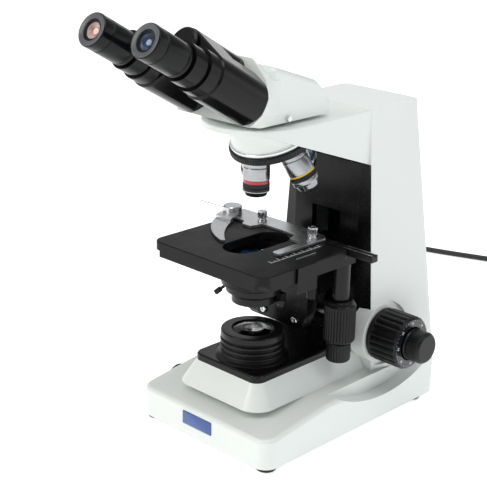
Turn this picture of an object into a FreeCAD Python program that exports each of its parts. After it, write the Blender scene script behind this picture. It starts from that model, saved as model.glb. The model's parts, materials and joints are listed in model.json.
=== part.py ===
import FreeCAD, Part
import math
import os

os.makedirs("parts", exist_ok=True)
V = FreeCAD.Vector

# Laboratory microscope with an inclined binocular head. Millimetres, +Z up, the user at -Y.
# The origin lies on the optical axis, in the plane that the feet stand on.

# ---- base ----
FOOT_H = 4.0
FOOT_R = 9.0
BASE_HW = 80.0            # half width
BASE_FRONT = -64.0
BASE_BACK = 176.0
BASE_CORNER = 13.0
BASE_TOP = 41.0           # top of the base behind the sloping front part
BASE_FRONT_TOP = 31.0     # top of the base at its front edge
BASE_CREST_Y = 15.0       # where the slope ends
SCOOP_X, SCOOP_Y, SCOOP_R, SCOOP_LOW = 66.0, 94.0, 140.0, 25.0
BASE_WALL = 4.0
BLOCK_HW_LOW, BLOCK_HW_TOP = 53.0, 40.0
BLOCK_FRONT_LOW, BLOCK_FRONT_TOP = -48.0, -35.0
BLOCK_TOP = 62.0
DECK_T = 6.5
# ---- arm ----
ARM_FRONT = 98.0
ARM_TOP = 286.0
ARM_HW_TOP = 44.0
ARM_FLARE_FRONT = 0.065   # growth of the half width per mm down, at the front edge
ARM_FLARE_BACK = 0.145    # the same at the back edge
ARM_BACK_TOP = 168.0
ARM_BACK_SLOPE = 0.028
ARM_WALL = 4.0
ARM_SIDE_WALL = 7.0       # thicker, for the flutes
FLUTE_R = 14.0            # the flute down each side of the arm
PANEL_FRONT = 95.0
PANEL_HW = 38.0
SLOT_HW = 17.0
SLOT_TOP = 187.0
SLOT_LOW = 76.0
NOSE_R = 48.0
CARRIER_DROP = 50.0       # depth of the carrier arm at the column
CARRIER_LIP = 5.0
# ---- illuminator ----
LAMP_R = 29.0
LAMP_TOP = 94.0
LENS_R = 17.5
# ---- focusing ----
KNOB_Y, KNOB_Z = 110.6, 75.6
BOSS_R = 28.0
BOSS_X = 60.0
COARSE_R, COARSE_L = 25.0, 34.5
FINE_R, FINE_L = 15.0, 17.0
SHAFT_R, FINE_SHAFT_R = 6.0, 3.0
RUN_FIT = 0.05            # radial clearance of a turning fit
GAP = 0.4                 # clearance between pieces that move past each other
SEAT_FIT = 0.1            # clearance between fixed pieces that meet on a round face
# ---- stage ----
STAGE_HW = 67.5
STAGE_FRONT, STAGE_BACK = -60.0, 47.0
STAGE_TOP = 174.0
STAGE_T = 8.0
SKIRT = 5.6               # how far the rim hangs below the plate
STAGE_Y_BACK = -18.0      # the top plate's travel towards the user
LOWER_T = 6.0
SLIT_HW = 16.5
DRIVE_X, DRIVE_Y = 56.0, 53.5
DRIVE_TUBE_R = 7.5
YKNOB_R, XKNOB_R = 14.3, 11.0
STEM_R, XSTEM_R = 3.5, 1.8
VERNIER_Y0, VERNIER_Y1 = -20.0, 4.0
# ---- condenser ----
COND_R = 25.0
COND_TOP = 165.0
# ---- nosepiece ----
TILT = 20.0               # tilt of the nosepiece axis, degrees
SEAT_R = 22.0             # distance of the objective seats from the nosepiece axis
SEAT_Z = ARM_TOP - 38.0   # height of the working objective's shoulder
TURRET_R = 37.5
TURRET_RIM = 6.0
MOUNT_R = 34.0
THREAD_R = 10.16          # RMS objective thread, 20.32 across
OBJ_R = 11.7
# ---- head ----
INCLINE = 29.6            # inclination of the eyepiece tubes, degrees
EYE_Y, EYE_Z = -153.6, ARM_TOP + 87.5
IPD = 61.0                # distance between the eyepieces as built
HINGE_ABOVE = 20.0        # height of the hinge axis above the tubes, square to them
HEAD_HW = 36.0
HEAD_GAP = 3.0
COLLAR_BACK = -12.0       # where the collar behind the binocular halves joins the housing
WING_L = 58.0
WING_HUB_R, WING_TUBE_R = 15.0, 20.0
SHOULDER = 1.5            # chamfer round a half's front
WING_STEP_R = 26.0        # room that each half leaves round the other half's hub
HUB_PIN_R = 7.5
TUBE_R, RING_R = 16.5, 18.5
RING_L, TUBE_L = 12.0, 16.0
EYE_R, EYE_L = 14.3, 39.5
SLEEVE_R = 11.6
# ---- mains cord ----
CORD_D = 6.4
COIL_MEAN_R = 35.0


def save(node, shape):
    """Writes one piece as a STEP file."""
    shape.exportStep("parts/" + node + ".step")


def box(x0, x1, y0, y1, z0, z1):
    return Part.makeBox(x1 - x0, y1 - y0, z1 - z0, V(x0, y0, z0))


def rod(radius, a, b):
    """A cylinder from point a to point b."""
    a, b = V(*a), V(*b)
    return Part.makeCylinder(radius, (b - a).Length, a, b - a)


def tube(outer, inner, a, b):
    return rod(outer, a, b).cut(rod(inner, a, b))


def prism(points, low, high, axis="z"):
    """A polygon swept from low to high along one axis; points are in the other two, in X, Y, Z order."""
    place = {
        "x": lambda p: V(low, p[0], p[1]),
        "y": lambda p: V(p[0], low, p[1]),
        "z": lambda p: V(p[0], p[1], low),
    }[axis]
    along = {"x": V(high - low, 0, 0), "y": V(0, high - low, 0), "z": V(0, 0, high - low)}[axis]
    wire = Part.makePolygon([place(p) for p in points] + [place(points[0])])
    return Part.Face(wire).extrude(along)


def turned(profile, origin=(0, 0, 0), axis=(0, 0, 1)):
    """A closed (radius, height) profile turned about an axis through the origin point."""
    points = [V(r, 0, h) for r, h in profile]
    face = Part.Face(Part.makePolygon(points + [points[0]]))
    solid = face.revolve(V(0, 0, 0), V(0, 0, 1), 360)
    solid.Placement = FreeCAD.Placement(V(*origin), FreeCAD.Rotation(V(0, 0, 1), V(*axis)))
    return solid


def rounded(points, radii, z):
    """A closed wire at height z through the points, each corner rounded by its own radius."""
    edges = []
    count = len(points)
    ends = []
    for i in range(count):
        here = V(points[i][0], points[i][1], z)
        before = V(points[i - 1][0], points[i - 1][1], z)
        after = V(points[(i + 1) % count][0], points[(i + 1) % count][1], z)
        into, out = (before - here).normalize(), (after - here).normalize()
        half = into.getAngle(out) / 2
        reach = radii[i] / math.tan(half)
        middle = here + (into + out).normalize() * (radii[i] / math.sin(half) - radii[i])
        ends.append((here + into * reach, middle, here + out * reach))
    for i in range(count):
        edges.append(Part.Arc(*ends[i]).toShape())
        edges.append(Part.LineSegment(ends[i][2], ends[(i + 1) % count][0]).toShape())
    return Part.Wire(edges)


def slab(points, radii, low, high):
    """A rounded polygon swept straight up."""
    return Part.Face(rounded(points, radii, low)).extrude(V(0, 0, high - low))


def loft(wires):
    """A solid of ruled faces between outlines with equal numbers of edges."""
    return Part.makeLoft(wires, True, True)


def rectangle(x, y0, y1):
    return [(-x, y0), (x, y0), (x, y1), (-x, y1)]


def softened(solid, radius, choose):
    """Fillets the edges for which choose(edge) is true."""
    edges = [e for e in solid.Edges if choose(e)]
    return solid.makeFillet(radius, edges)


def at_height(z):
    return lambda e: abs(e.BoundBox.ZMin - z) < 1e-4 and abs(e.BoundBox.ZMax - z) < 1e-4


# ======================= base =======================

def arm_outline(z, inset=0.0, front=None):
    """The arm's plan at height z: a trapezium that is wider at the back."""
    down = ARM_TOP - z
    front_hw = ARM_HW_TOP + ARM_FLARE_FRONT * down - inset
    back_hw = ARM_HW_TOP + ARM_FLARE_BACK * down - inset
    back = ARM_BACK_TOP + ARM_BACK_SLOPE * down - inset
    y0 = ARM_FRONT if front is None else front
    return [(-front_hw, y0), (front_hw, y0), (back_hw, back), (-back_hw, back)]


def scoops():
    """The hollows in the base's sides that leave room for the fingers under the knobs."""
    height = SCOOP_LOW + SCOOP_R
    cut = []
    for side in (-1, 1):
        cut.append(rod(SCOOP_R, (side * SCOOP_X, SCOOP_Y, height), (side * (BASE_HW + 10), SCOOP_Y, height)))
    return cut[0].fuse(cut[1])


def base_casting():
    plan = rectangle(BASE_HW, BASE_FRONT, BASE_BACK)
    body = slab(plan, [BASE_CORNER] * 4, FOOT_H, BASE_TOP)
    above = BASE_TOP + 9
    slope = [
        (BASE_FRONT - 1, BASE_FRONT_TOP), (BASE_CREST_Y, BASE_TOP),
        (BASE_CREST_Y, above), (BASE_FRONT - 1, above),
    ]
    body = body.cut(prism(slope, -BASE_HW - 1, BASE_HW + 1, "x"))
    inner_width = 2 * BASE_HW - 5
    least = BASE_FRONT_TOP - 0.5
    body = softened(body, 4.5, lambda e: e.BoundBox.ZMin > least and e.BoundBox.XLength < inner_width)
    low = rectangle(BLOCK_HW_LOW, BLOCK_FRONT_LOW, ARM_FRONT)
    top = rectangle(BLOCK_HW_TOP, BLOCK_FRONT_TOP, ARM_FRONT)
    block = loft([rounded(low, [20, 20, 2, 2], BASE_TOP - 0.01), rounded(top, [9, 9, 2, 2], BLOCK_TOP)])
    body = body.fuse(block).removeSplitter()
    hollow = slab(
        rectangle(BASE_HW - BASE_WALL, BASE_FRONT + BASE_WALL, BASE_BACK - BASE_WALL),
        [BASE_CORNER - BASE_WALL] * 4, FOOT_H - 1, SCOOP_LOW - BASE_WALL,
    )
    body = body.cut(hollow)
    body = body.cut(scoops())
    body = body.cut(rod(22, (0, 0, 10), (0, 0, BLOCK_TOP + 1)))
    well = box(-30, 30, ARM_FRONT + 8, BASE_BACK - 20, 10, BASE_TOP + 1)
    body = body.cut(well)
    body = body.cut(inlet_shape(0.0))
    stem_end = (-BASE_HW + 10, DIAL_Y, DIAL_Z)
    body = body.cut(rod(DIAL_STEM_R + RUN_FIT, (-BASE_HW - 1, DIAL_Y, DIAL_Z), stem_end))
    for side in (-1, 1):
        body = body.cut(rod(BOSS_R + SEAT_FIT, (side * 40, KNOB_Y, KNOB_Z), (side * (BOSS_X + 1), KNOB_Y, KNOB_Z)))
    body = body.cut(switch_opening())
    return body


def base_floor():
    inside = BASE_WALL
    plate = slab(
        rectangle(BASE_HW - inside, BASE_FRONT + inside, BASE_BACK - inside),
        [BASE_CORNER - inside] * 4, FOOT_H, FOOT_H + 1.6,
    )
    return plate


FEET = [(-69.0, -52.0), (69.0, -52.0), (69.0, 150.0), (-69.0, 150.0)]


def foot(x, y):
    profile = [(0, 0), (FOOT_R - 1, 0), (FOOT_R, 1), (FOOT_R, FOOT_H), (0, FOOT_H)]
    return turned(profile, (x, y, 0))


def deck_plate():
    """The dark plate on the raised block, with a narrow bevel round its top."""
    high = BLOCK_TOP + DECK_T
    plan = rectangle(BLOCK_HW_TOP, BLOCK_FRONT_TOP, PANEL_FRONT)
    plate = slab(plan, [9, 9, 2, 2], BLOCK_TOP, high)
    plate = plate.makeChamfer(1.2, [e for e in plate.Edges if at_height(high)(e)])
    return plate.cut(rod(22, (0, 0, BLOCK_TOP - 1), (0, 0, high + 1)))


def lamp_housing():
    """The ribbed tower round the field lens, flaring at its foot."""
    foot_z = BLOCK_TOP + DECK_T
    outer = [(19, foot_z), (33, foot_z), (31.5, foot_z + 2)]
    ribs = 4
    pitch = (LAMP_TOP - 4 - foot_z - 4) / ribs
    for i in range(ribs):
        z = foot_z + 3 + i * pitch
        outer += [(LAMP_R, z), (LAMP_R, z + pitch * 0.6)]
        outer += [(LAMP_R - 1.4, z + pitch * 0.65), (LAMP_R - 1.4, z + pitch * 0.95)]
    outer += [(LAMP_R, LAMP_TOP - 3.5), (LAMP_R, LAMP_TOP - 1)]
    outer += [(LAMP_R - 1, LAMP_TOP), (LENS_R + 1.5, LAMP_TOP)]
    outer += [(LENS_R, LAMP_TOP - 1.5), (LENS_R, LAMP_TOP - 5), (19, LAMP_TOP - 5)]
    return turned(outer)


def field_lens():
    edge = LAMP_TOP - 5
    profile = [(0, edge + 0.5), (LENS_R, edge), (LENS_R, edge + 4.5)]
    steps = 6
    for i in range(1, steps + 1):
        r = LENS_R * (1 - i / steps)
        profile.append((r, edge + 4.5 + 2.8 * (1 - (r / LENS_R) ** 2)))
    return turned(profile)


def led_module():
    disc = rod(18, (0, 0, 30), (0, 0, 36))
    stem = rod(6, (0, 0, 36), (0, 0, 41))
    board = box(-21, 21, -4, 4, 28, 30)
    return disc.fuse([stem, board])


# The mains inlet, the switch and the brightness dial.
INLET_X, INLET_Z = -45.0, 20.0
INLET_W, INLET_H = 28.0, 21.0
SWITCH_X, SWITCH_Z = 35.0, 20.0
SWITCH_W, SWITCH_H = 13.0, 19.0
DIAL_Y, DIAL_Z = -10.0, 20.0
DIAL_R, DIAL_L, DIAL_STEM_R = 12.0, 9.0, 3.0


def inlet_shape(shrink):
    w, h = INLET_W / 2 - shrink, INLET_H / 2 - shrink
    return box(INLET_X - w, INLET_X + w, BASE_BACK - 18, BASE_BACK + 0.5, INLET_Z - h, INLET_Z + h)


CONNECTOR_W, CONNECTOR_H = 22.0, 15.0


def power_inlet():
    """A recessed appliance inlet with its flange; the connector sits in its mouth."""
    body = inlet_shape(0.0)
    flange = box(
        INLET_X - INLET_W / 2 - 3, INLET_X + INLET_W / 2 + 3, BASE_BACK, BASE_BACK + 2,
        INLET_Z - INLET_H / 2 - 2, INLET_Z + INLET_H / 2 + 2,
    )
    body = body.fuse(flange).removeSplitter()
    mouth = box(
        INLET_X - CONNECTOR_W / 2 - 0.5, INLET_X + CONNECTOR_W / 2 + 0.5, BASE_BACK - 15, BASE_BACK + 5,
        INLET_Z - CONNECTOR_H / 2 - 0.5, INLET_Z + CONNECTOR_H / 2 + 0.5,
    )
    return body.cut(mouth)


def switch_opening():
    w, h = SWITCH_W / 2, SWITCH_H / 2
    return box(SWITCH_X - w, SWITCH_X + w, BASE_BACK - 12, BASE_BACK + 1, SWITCH_Z - h, SWITCH_Z + h)


def power_switch():
    """A rocker with two shallow faces that meet in a V, turning about a pin along X."""
    w, h = SWITCH_W / 2 - GAP, SWITCH_H / 2 - 1.6
    face = BASE_BACK + 1.2
    points = [
        (face - 8, SWITCH_Z - h * 0.6), (face, SWITCH_Z - h), (face - 1.2, SWITCH_Z),
        (face, SWITCH_Z + h), (face - 8, SWITCH_Z + h * 0.6),
    ]
    rocker = prism(points, SWITCH_X - w, SWITCH_X + w, "x")
    pin = rod(1.2, (SWITCH_X - w - 0.2, face - 5.7, SWITCH_Z), (SWITCH_X + w + 0.2, face - 5.7, SWITCH_Z))
    return rocker.fuse(pin)


def brightness_knob():
    inner = -BASE_HW - GAP
    knob = [(0, 0), (DIAL_R, 0), (DIAL_R, DIAL_L - 1.5), (DIAL_R - 1.5, DIAL_L), (0, DIAL_L)]
    body = turned(knob, (inner, DIAL_Y, DIAL_Z), (-1, 0, 0))
    flutes = 18
    for i in range(flutes):
        a = 2 * math.pi * i / flutes
        y, z = DIAL_Y + (DIAL_R + 0.6) * math.cos(a), DIAL_Z + (DIAL_R + 0.6) * math.sin(a)
        body = body.cut(rod(1.2, (inner, y, z), (inner - DIAL_L + 2, y, z)))
    stem = rod(DIAL_STEM_R, (inner, DIAL_Y, DIAL_Z), (-BASE_HW + 8, DIAL_Y, DIAL_Z))
    return body.fuse(stem)


def badge():
    """The blank plate on the base's front, set 0.8 mm proud."""
    plan = [(-22.0, 14.0), (14.0, 14.0), (14.0, 26.5), (-22.0, 26.5)]
    return prism(plan, BASE_FRONT - 0.8, BASE_FRONT, "y")


# ======================= arm =======================

def knob_pockets():
    cut = []
    for side in (-1, 1):
        outside = (side * (BASE_HW + 20), KNOB_Y, KNOB_Z)
        cut.append(rod(COARSE_R + 6, (side * BOSS_X, KNOB_Y, KNOB_Z), outside))
    return cut[0].fuse(cut[1])


def knob_boss(side):
    """The round boss at the inner end of a coarse knob, with the bearing behind it."""
    boss = rod(BOSS_R, (side * 44, KNOB_Y, KNOB_Z), (side * BOSS_X, KNOB_Y, KNOB_Z))
    bearing = rod(14, (side * 30, KNOB_Y, KNOB_Z), (side * 44, KNOB_Y, KNOB_Z))
    return boss.fuse(bearing).removeSplitter()


def arm_cover():
    """The pale shell of the arm, open at its front, with a boss for each knob and a flute down each side."""
    corner = [1.5, 1.5, 7, 7]
    shell = loft([rounded(arm_outline(z), corner, z) for z in (BASE_TOP, ARM_TOP)])
    inner_corner = [1, 1, 4, 4]
    high = ARM_TOP - ARM_WALL
    start = ARM_FRONT + ARM_WALL
    hollow = loft([
        rounded(arm_outline(BASE_TOP - 1, ARM_SIDE_WALL, start), inner_corner, BASE_TOP - 1),
        rounded(arm_outline(high, ARM_SIDE_WALL, start), inner_corner, high),
    ])
    opening_hw = PANEL_HW + 2
    shell = shell.cut(knob_pockets()).cut(hollow)
    shell = shell.cut(box(-opening_hw, opening_hw, ARM_FRONT - 10, start + 1, BASE_TOP - 1, high))
    for side in (-1, 1):
        shell = shell.fuse(knob_boss(side))
        upper = (side * 62.7, 150, ARM_TOP - 24)
        lower = (side * 83.0, 152, ARM_TOP - 202)
        shell = shell.cut(rod(FLUTE_R, upper, lower))
    shell = shell.cut(rod(SHAFT_R + RUN_FIT, (-BOSS_X - 1, KNOB_Y, KNOB_Z), (BOSS_X + 1, KNOB_Y, KNOB_Z)))
    return shell.removeSplitter()


def column_panel():
    """The dark front of the column, bevelled back to the cover's edges, with the stage bracket's slot."""
    low, high = BLOCK_TOP + DECK_T, ARM_TOP - CARRIER_DROP
    wires = []
    for z in (low, high):
        edge = ARM_HW_TOP + ARM_FLARE_FRONT * (ARM_TOP - z) - 0.3
        plan = [(-PANEL_HW, PANEL_FRONT), (PANEL_HW, PANEL_FRONT), (edge, ARM_FRONT), (-edge, ARM_FRONT)]
        wires.append(Part.makePolygon([V(x, y, z) for x, y in plan + [plan[0]]]))
    panel = loft(wires)
    back = box(-PANEL_HW - 1.9, PANEL_HW + 1.9, ARM_FRONT, ARM_FRONT + 3, low, high)
    panel = panel.fuse(back)
    panel = panel.cut(box(-SLOT_HW, SLOT_HW, PANEL_FRONT - 1, ARM_FRONT + 5, SLOT_LOW, SLOT_TOP))
    for side in (-1, 1):
        panel = panel.cut(knob_boss(side))
    return panel.cut(knob_pockets()).removeSplitter()


def column_frame():
    """The cast pillar inside the arm that carries the focusing slides."""
    pillar = box(-26, 26, 131, 150, BASE_TOP, ARM_TOP - ARM_WALL)
    pillar = pillar.cut(box(-18, 18, 139, 151, BASE_TOP + 8, ARM_TOP - ARM_WALL - 8))
    shelf = box(-26, 26, ARM_FRONT + 4, 131, ARM_TOP - ARM_WALL - 12, ARM_TOP - ARM_WALL)
    return pillar.fuse(shelf).removeSplitter()


def nosepiece_axis():
    t = math.radians(TILT)
    return V(0, math.sin(t), -math.cos(t))


def nosepiece_centre():
    """The point on the nosepiece axis in the turret's upper face, from the working objective's seat."""
    t = math.radians(TILT)
    depth = seat_depth()
    front = V(0, -math.cos(t), -math.sin(t))
    return V(0, 0, SEAT_Z) - front * SEAT_R - nosepiece_axis() * depth


def seat_depth():
    return TURRET_RIM + (TURRET_R - SEAT_R) * math.tan(math.radians(TILT))


def carrier_envelope():
    """The carrier arm's outer shape: a round nose on the optical axis, deepening to the column."""
    tangent = NOSE_R
    plan = [V(-tangent, 0, 0), V(0, -NOSE_R, 0), V(tangent, 0, 0)]
    nose = Part.Arc(*plan).toShape()
    corners = [V(tangent, 0, 0), V(ARM_HW_TOP, ARM_FRONT, 0), V(-ARM_HW_TOP, ARM_FRONT, 0), V(-tangent, 0, 0)]
    sides = [Part.LineSegment(corners[i], corners[i + 1]).toShape() for i in range(3)]
    face = Part.Face(Part.Wire([nose] + sides))
    face.translate(V(0, 0, ARM_TOP - CARRIER_DROP))
    body = face.extrude(V(0, 0, CARRIER_DROP))
    low = ARM_TOP - CARRIER_DROP
    lip = ARM_TOP - CARRIER_LIP
    knee = ARM_FRONT - (lip - low) / 0.352
    side = [(ARM_FRONT, low), (ARM_FRONT, ARM_TOP), (-NOSE_R - 1, ARM_TOP), (-NOSE_R - 1, lip), (knee, lip)]
    return body.common(prism(side, -60, 60, "x"))


def turret_room():
    """The space under the carrier arm that the turret and its objectives sweep."""
    profile = [(0, -GAP), (TURRET_R + 2.5, -GAP), (TURRET_R + 3.5, 10), (TURRET_R + 16, 62), (0, 62)]
    return turned(profile, tuple(nosepiece_centre()), tuple(nosepiece_axis()))


def arm_carrier():
    body = carrier_envelope()
    body = softened(body, 1.2, lambda e: at_height(ARM_TOP)(e) and e.BoundBox.YMin < ARM_FRONT - 1)
    body = body.cut(turret_room())
    rear = box(-36, 36, 40, ARM_FRONT - 6, ARM_TOP - CARRIER_DROP - 5, ARM_TOP - 18)
    body = body.cut(rear)
    body = body.cut(rod(12, (0, 0, SEAT_Z - 48), (0, 0, ARM_TOP + 1)))
    return body


def nosepiece_mount():
    """The fixed round boss that the turret turns on, with a bright ring at its foot."""
    centre, axis = nosepiece_centre(), nosepiece_axis()
    profile = [
        (0, -GAP), (MOUNT_R + 1.5, -GAP), (MOUNT_R + 1.5, -3.2), (MOUNT_R, -3.8), (MOUNT_R, -40), (0, -40),
    ]
    boss = turned(profile, tuple(centre), tuple(axis))
    below_lip = box(-60, 60, -60, 60, SEAT_Z - 48, ARM_TOP - CARRIER_LIP)
    boss = boss.common(below_lip).cut(carrier_envelope().cut(turret_room()))
    return boss.cut(rod(12, (0, 0, SEAT_Z - 48), (0, 0, ARM_TOP)))


def head_dovetail():
    return turned([(12, ARM_TOP), (24, ARM_TOP), (21, ARM_TOP + HEAD_GAP + 4), (12, ARM_TOP + HEAD_GAP + 4)])


# ======================= nosepiece and objectives =======================

def seat_frame(index):
    """The seat point and the outward direction of one objective; index 0 is the working one."""
    t = math.radians(TILT)
    turn = math.radians(90 * index)
    front, right = V(0, -math.cos(t), -math.sin(t)), V(1, 0, 0)
    radial = front * math.cos(turn) + right * math.sin(turn)
    axis = nosepiece_axis()
    seat = nosepiece_centre() + axis * seat_depth() + radial * SEAT_R
    return seat, axis * math.cos(t) + radial * math.sin(t)


def turret():
    drop = (TURRET_R - 6) * math.tan(math.radians(TILT))
    profile = [
        (0, 0), (TURRET_R - 1, 0), (TURRET_R, 1), (TURRET_R, TURRET_RIM),
        (6, TURRET_RIM + drop), (0, TURRET_RIM + drop),
    ]
    body = turned(profile, tuple(nosepiece_centre()), tuple(nosepiece_axis()))
    for index in range(4):
        seat, out = seat_frame(index)
        body = body.cut(rod(THREAD_R, tuple(seat - out * 30), tuple(seat + out * 5)))
    return body


def objective(index, length, profile):
    """One objective: a threaded stub, then its barrel from (distance, radius) pairs."""
    seat, out = seat_frame(index)
    outline = [(5, -4), (THREAD_R, -4), (THREAD_R, 0)]
    outline += [(r, s) for s, r in profile]
    outline += [(4, length), (4, length - 3), (5, length - 6)]
    return turned(outline, tuple(seat), tuple(out))


LOW_POWER = [(0, OBJ_R), (14.5, OBJ_R), (15, OBJ_R - 0.3), (18.5, OBJ_R - 0.3), (19, OBJ_R),
             (25.5, OBJ_R), (26, 10.4), (29.2, 9.4), (30, 8.8)]
TEN_POWER = [(0, OBJ_R), (17, OBJ_R), (17.5, OBJ_R - 0.3), (19.5, OBJ_R - 0.3), (20, OBJ_R),
             (27, OBJ_R), (29, 10.2), (33, 8.6), (34.5, 6.5)]
HIGH_POWER = [(0, OBJ_R), (22, OBJ_R), (22.5, OBJ_R - 0.3), (25, OBJ_R - 0.3), (25.5, OBJ_R),
              (32, OBJ_R), (34, 10), (39, 8.5), (41.5, 6), (43.5, 5.2)]
OIL_POWER = [(0, OBJ_R), (22, OBJ_R), (22.5, OBJ_R - 0.3), (25, OBJ_R - 0.3), (25.5, OBJ_R),
             (33, OBJ_R), (35, 10), (40, 8.5), (42.5, 5.5), (44.6, 4.8)]


# ======================= focusing =======================

def fine_slide():
    """The plate that the fine focusing lifts, between the pillar and the coarse slide."""
    plate = box(-22, 22, 124.4, 130.6, 50, 215)
    return plate


def focus_slide():
    """The coarse slide with its rack, the neck through the slot, and the bracket under the stage."""
    rack_y = KNOB_Y + SHAFT_R + 1.0
    rail = box(-16, 16, rack_y, 124, 58, 200)
    neck = box(-SLOT_HW + 1, SLOT_HW - 1, 70, rack_y + 1, 112, 156)
    under = STAGE_TOP - STAGE_T - GAP - LOWER_T
    cross = box(-44, 44, 58, 80, 138, under)
    body = rail.fuse([neck, cross])
    for side in (-1, 1):
        x0, x1 = sorted((side * 34, side * 44))
        body = body.fuse(box(x0, x1, -30, 60, 148, under))
    post = rod(5, (39, 34, 125), (39, 34, 150))
    guide = box(-9, 9, 52, 72, 108, 150)
    body = body.fuse([post, guide])
    return body.removeSplitter()


def focus_shaft():
    """The hollow coarse shaft with its pinion in the middle."""
    reach = BOSS_X + 14
    shaft = rod(SHAFT_R, (-reach, KNOB_Y, KNOB_Z), (reach, KNOB_Y, KNOB_Z))
    return shaft.cut(rod(FINE_SHAFT_R + RUN_FIT, (-reach - 1, KNOB_Y, KNOB_Z), (reach + 1, KNOB_Y, KNOB_Z)))


def knob_ribs(solid, radius, count, depth, x0, x1):
    """Cuts long grip flutes into a knob that turns about the focusing axis."""
    for i in range(count):
        a = 2 * math.pi * i / count
        y, z = KNOB_Y + (radius + 3 - depth) * math.cos(a), KNOB_Z + (radius + 3 - depth) * math.sin(a)
        solid = solid.cut(rod(3, (x0, y, z), (x1, y, z)))
    return solid


def coarse_knob(side):
    inner, outer = BOSS_X + GAP, BOSS_X + GAP + COARSE_L
    profile = [
        (SHAFT_R, 0), (COARSE_R - 1.5, 0), (COARSE_R - 0.5, 1), (COARSE_R - 0.5, 3), (COARSE_R, 4),
        (COARSE_R, COARSE_L - 2), (COARSE_R - 2, COARSE_L), (20, COARSE_L), (19, COARSE_L - 1.5),
        (FINE_SHAFT_R + RUN_FIT, COARSE_L - 1.5), (FINE_SHAFT_R + RUN_FIT, 14 - GAP), (SHAFT_R, 14 - GAP),
    ]
    body = turned(profile, (side * inner, KNOB_Y, KNOB_Z), (side, 0, 0))
    return knob_ribs(body, COARSE_R, 12, 0.9, side * (inner + 4.5), side * (outer - 3))


def fine_knob(side):
    start = BOSS_X + GAP + COARSE_L + GAP
    profile = [
        (FINE_SHAFT_R, 0), (17, 0), (17.5, 0.8), (17.5, 3), (FINE_R, 3.6), (FINE_R, FINE_L - 1.5),
        (FINE_R - 1.5, FINE_L), (6, FINE_L - 0.6), (0, FINE_L - 0.6), (0, FINE_L - 4),
        (FINE_SHAFT_R, FINE_L - 4),
    ]
    body = turned(profile, (side * start, KNOB_Y, KNOB_Z), (side, 0, 0))
    return knob_ribs(body, FINE_R, 16, 0.5, side * (start + 4), side * (start + FINE_L - 2.5))


def fine_shaft():
    """The solid shaft inside the coarse one; the left fine knob is fixed on it for good."""
    reach = BOSS_X + GAP + COARSE_L + GAP + FINE_L - 4
    return rod(FINE_SHAFT_R, (-reach, KNOB_Y, KNOB_Z), (reach, KNOB_Y, KNOB_Z))


# ======================= stage =======================

def slit(width, low, high, y0, y1):
    """A slot with round ends along Y."""
    ends = [rod(width, (0, y, low), (0, y, high)) for y in (y0 + width, y1 - width)]
    return box(-width, width, y0 + width, y1 - width, low, high).fuse(ends)


def stage_top_plate():
    low = STAGE_TOP - STAGE_T
    plate = slab(rectangle(STAGE_HW, STAGE_FRONT, STAGE_BACK), [10, 10, 4, 4], low, STAGE_TOP)
    plate = plate.makeChamfer(0.8, [e for e in plate.Edges if at_height(STAGE_TOP)(e)])
    plate = plate.cut(slit(SLIT_HW, low - 1, STAGE_TOP + 1, -33, 37))
    for side in (-1, 1):
        x0, x1 = sorted((side * 50, side * 50.0 + side * 3))
        plate = plate.cut(box(x0, x1, STAGE_FRONT + 8, STAGE_BACK - 4, low - 1, low + 3))
    for side in (-1, 1):
        x0, x1 = sorted((side * (STAGE_HW - 2.0), side * STAGE_HW))
        plate = plate.fuse(box(x0, x1, STAGE_FRONT + 10, STAGE_BACK - 4, low - SKIRT, low + 1))
    plate = plate.fuse(box(-STAGE_HW + 10, STAGE_HW - 10, STAGE_FRONT, STAGE_FRONT + 2, low - SKIRT, low + 1))
    hanger = box(
        DRIVE_X - DRIVE_TUBE_R - 1, DRIVE_X + DRIVE_TUBE_R + 1, STAGE_BACK - 0.5, DRIVE_Y + DRIVE_TUBE_R,
        low - 8, low + 1.5,
    )
    plate = plate.fuse(hanger)
    bore = rod(STEM_R + RUN_FIT, (DRIVE_X, DRIVE_Y, low - 12), (DRIVE_X, DRIVE_Y, low + 4))
    return plate.cut(bore).removeSplitter()


def stage_lower_plate():
    high = STAGE_TOP - STAGE_T - GAP
    low = high - LOWER_T
    plate = slab(rectangle(STAGE_HW - 2.5, STAGE_FRONT + 15, STAGE_BACK - 1), [8, 8, 4, 4], low, high)
    plate = plate.cut(rod(COND_R + 4, (0, 0, low - 1), (0, 0, high + 1)))
    corner = DRIVE_X - DRIVE_TUBE_R - 1 - GAP
    corner_y = STAGE_BACK - 0.5 + STAGE_Y_BACK - GAP
    plate = plate.cut(box(corner, STAGE_HW, corner_y, STAGE_BACK, low - 1, high + 1))
    for side in (-1, 1):
        x0, x1 = sorted((side * (50 + GAP), side * (53 - GAP)))
        plate = plate.fuse(box(x0, x1, STAGE_FRONT + 36, STAGE_BACK - 34, high, high + 3 - GAP + 0.2))
    below = low - 3
    lug = box(STAGE_HW - 8, STAGE_HW + 2, VERNIER_Y0, VERNIER_Y1, below, low + 0.1)
    upright = box(STAGE_HW + 0.6, STAGE_HW + 2, VERNIER_Y0, VERNIER_Y1, below - 6, STAGE_TOP - 0.4)
    return plate.fuse([lug, upright]).removeSplitter()


def drive_housing():
    """The tube that hangs from the stage's corner and holds the two drive knobs."""
    top = STAGE_TOP - STAGE_T - 8
    return tube(DRIVE_TUBE_R, STEM_R + RUN_FIT, (DRIVE_X, DRIVE_Y, 124), (DRIVE_X, DRIVE_Y, top))


def knurled(radius, low, high, bore, count):
    """A hanging drive knob with straight knurling."""
    rim = [(radius - 1, low), (radius, low + 1), (radius, high - 1), (radius - 1, high)]
    profile = [(bore, low)] + rim + [(bore, high)]
    body = turned(profile, (DRIVE_X, DRIVE_Y, 0))
    for i in range(count):
        a = 2 * math.pi * i / count
        x, y = DRIVE_X + (radius + 0.5) * math.cos(a), DRIVE_Y + (radius + 0.5) * math.sin(a)
        body = body.cut(rod(1.1, (x, y, low + 2), (x, y, high - 2)))
    return body


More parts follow.
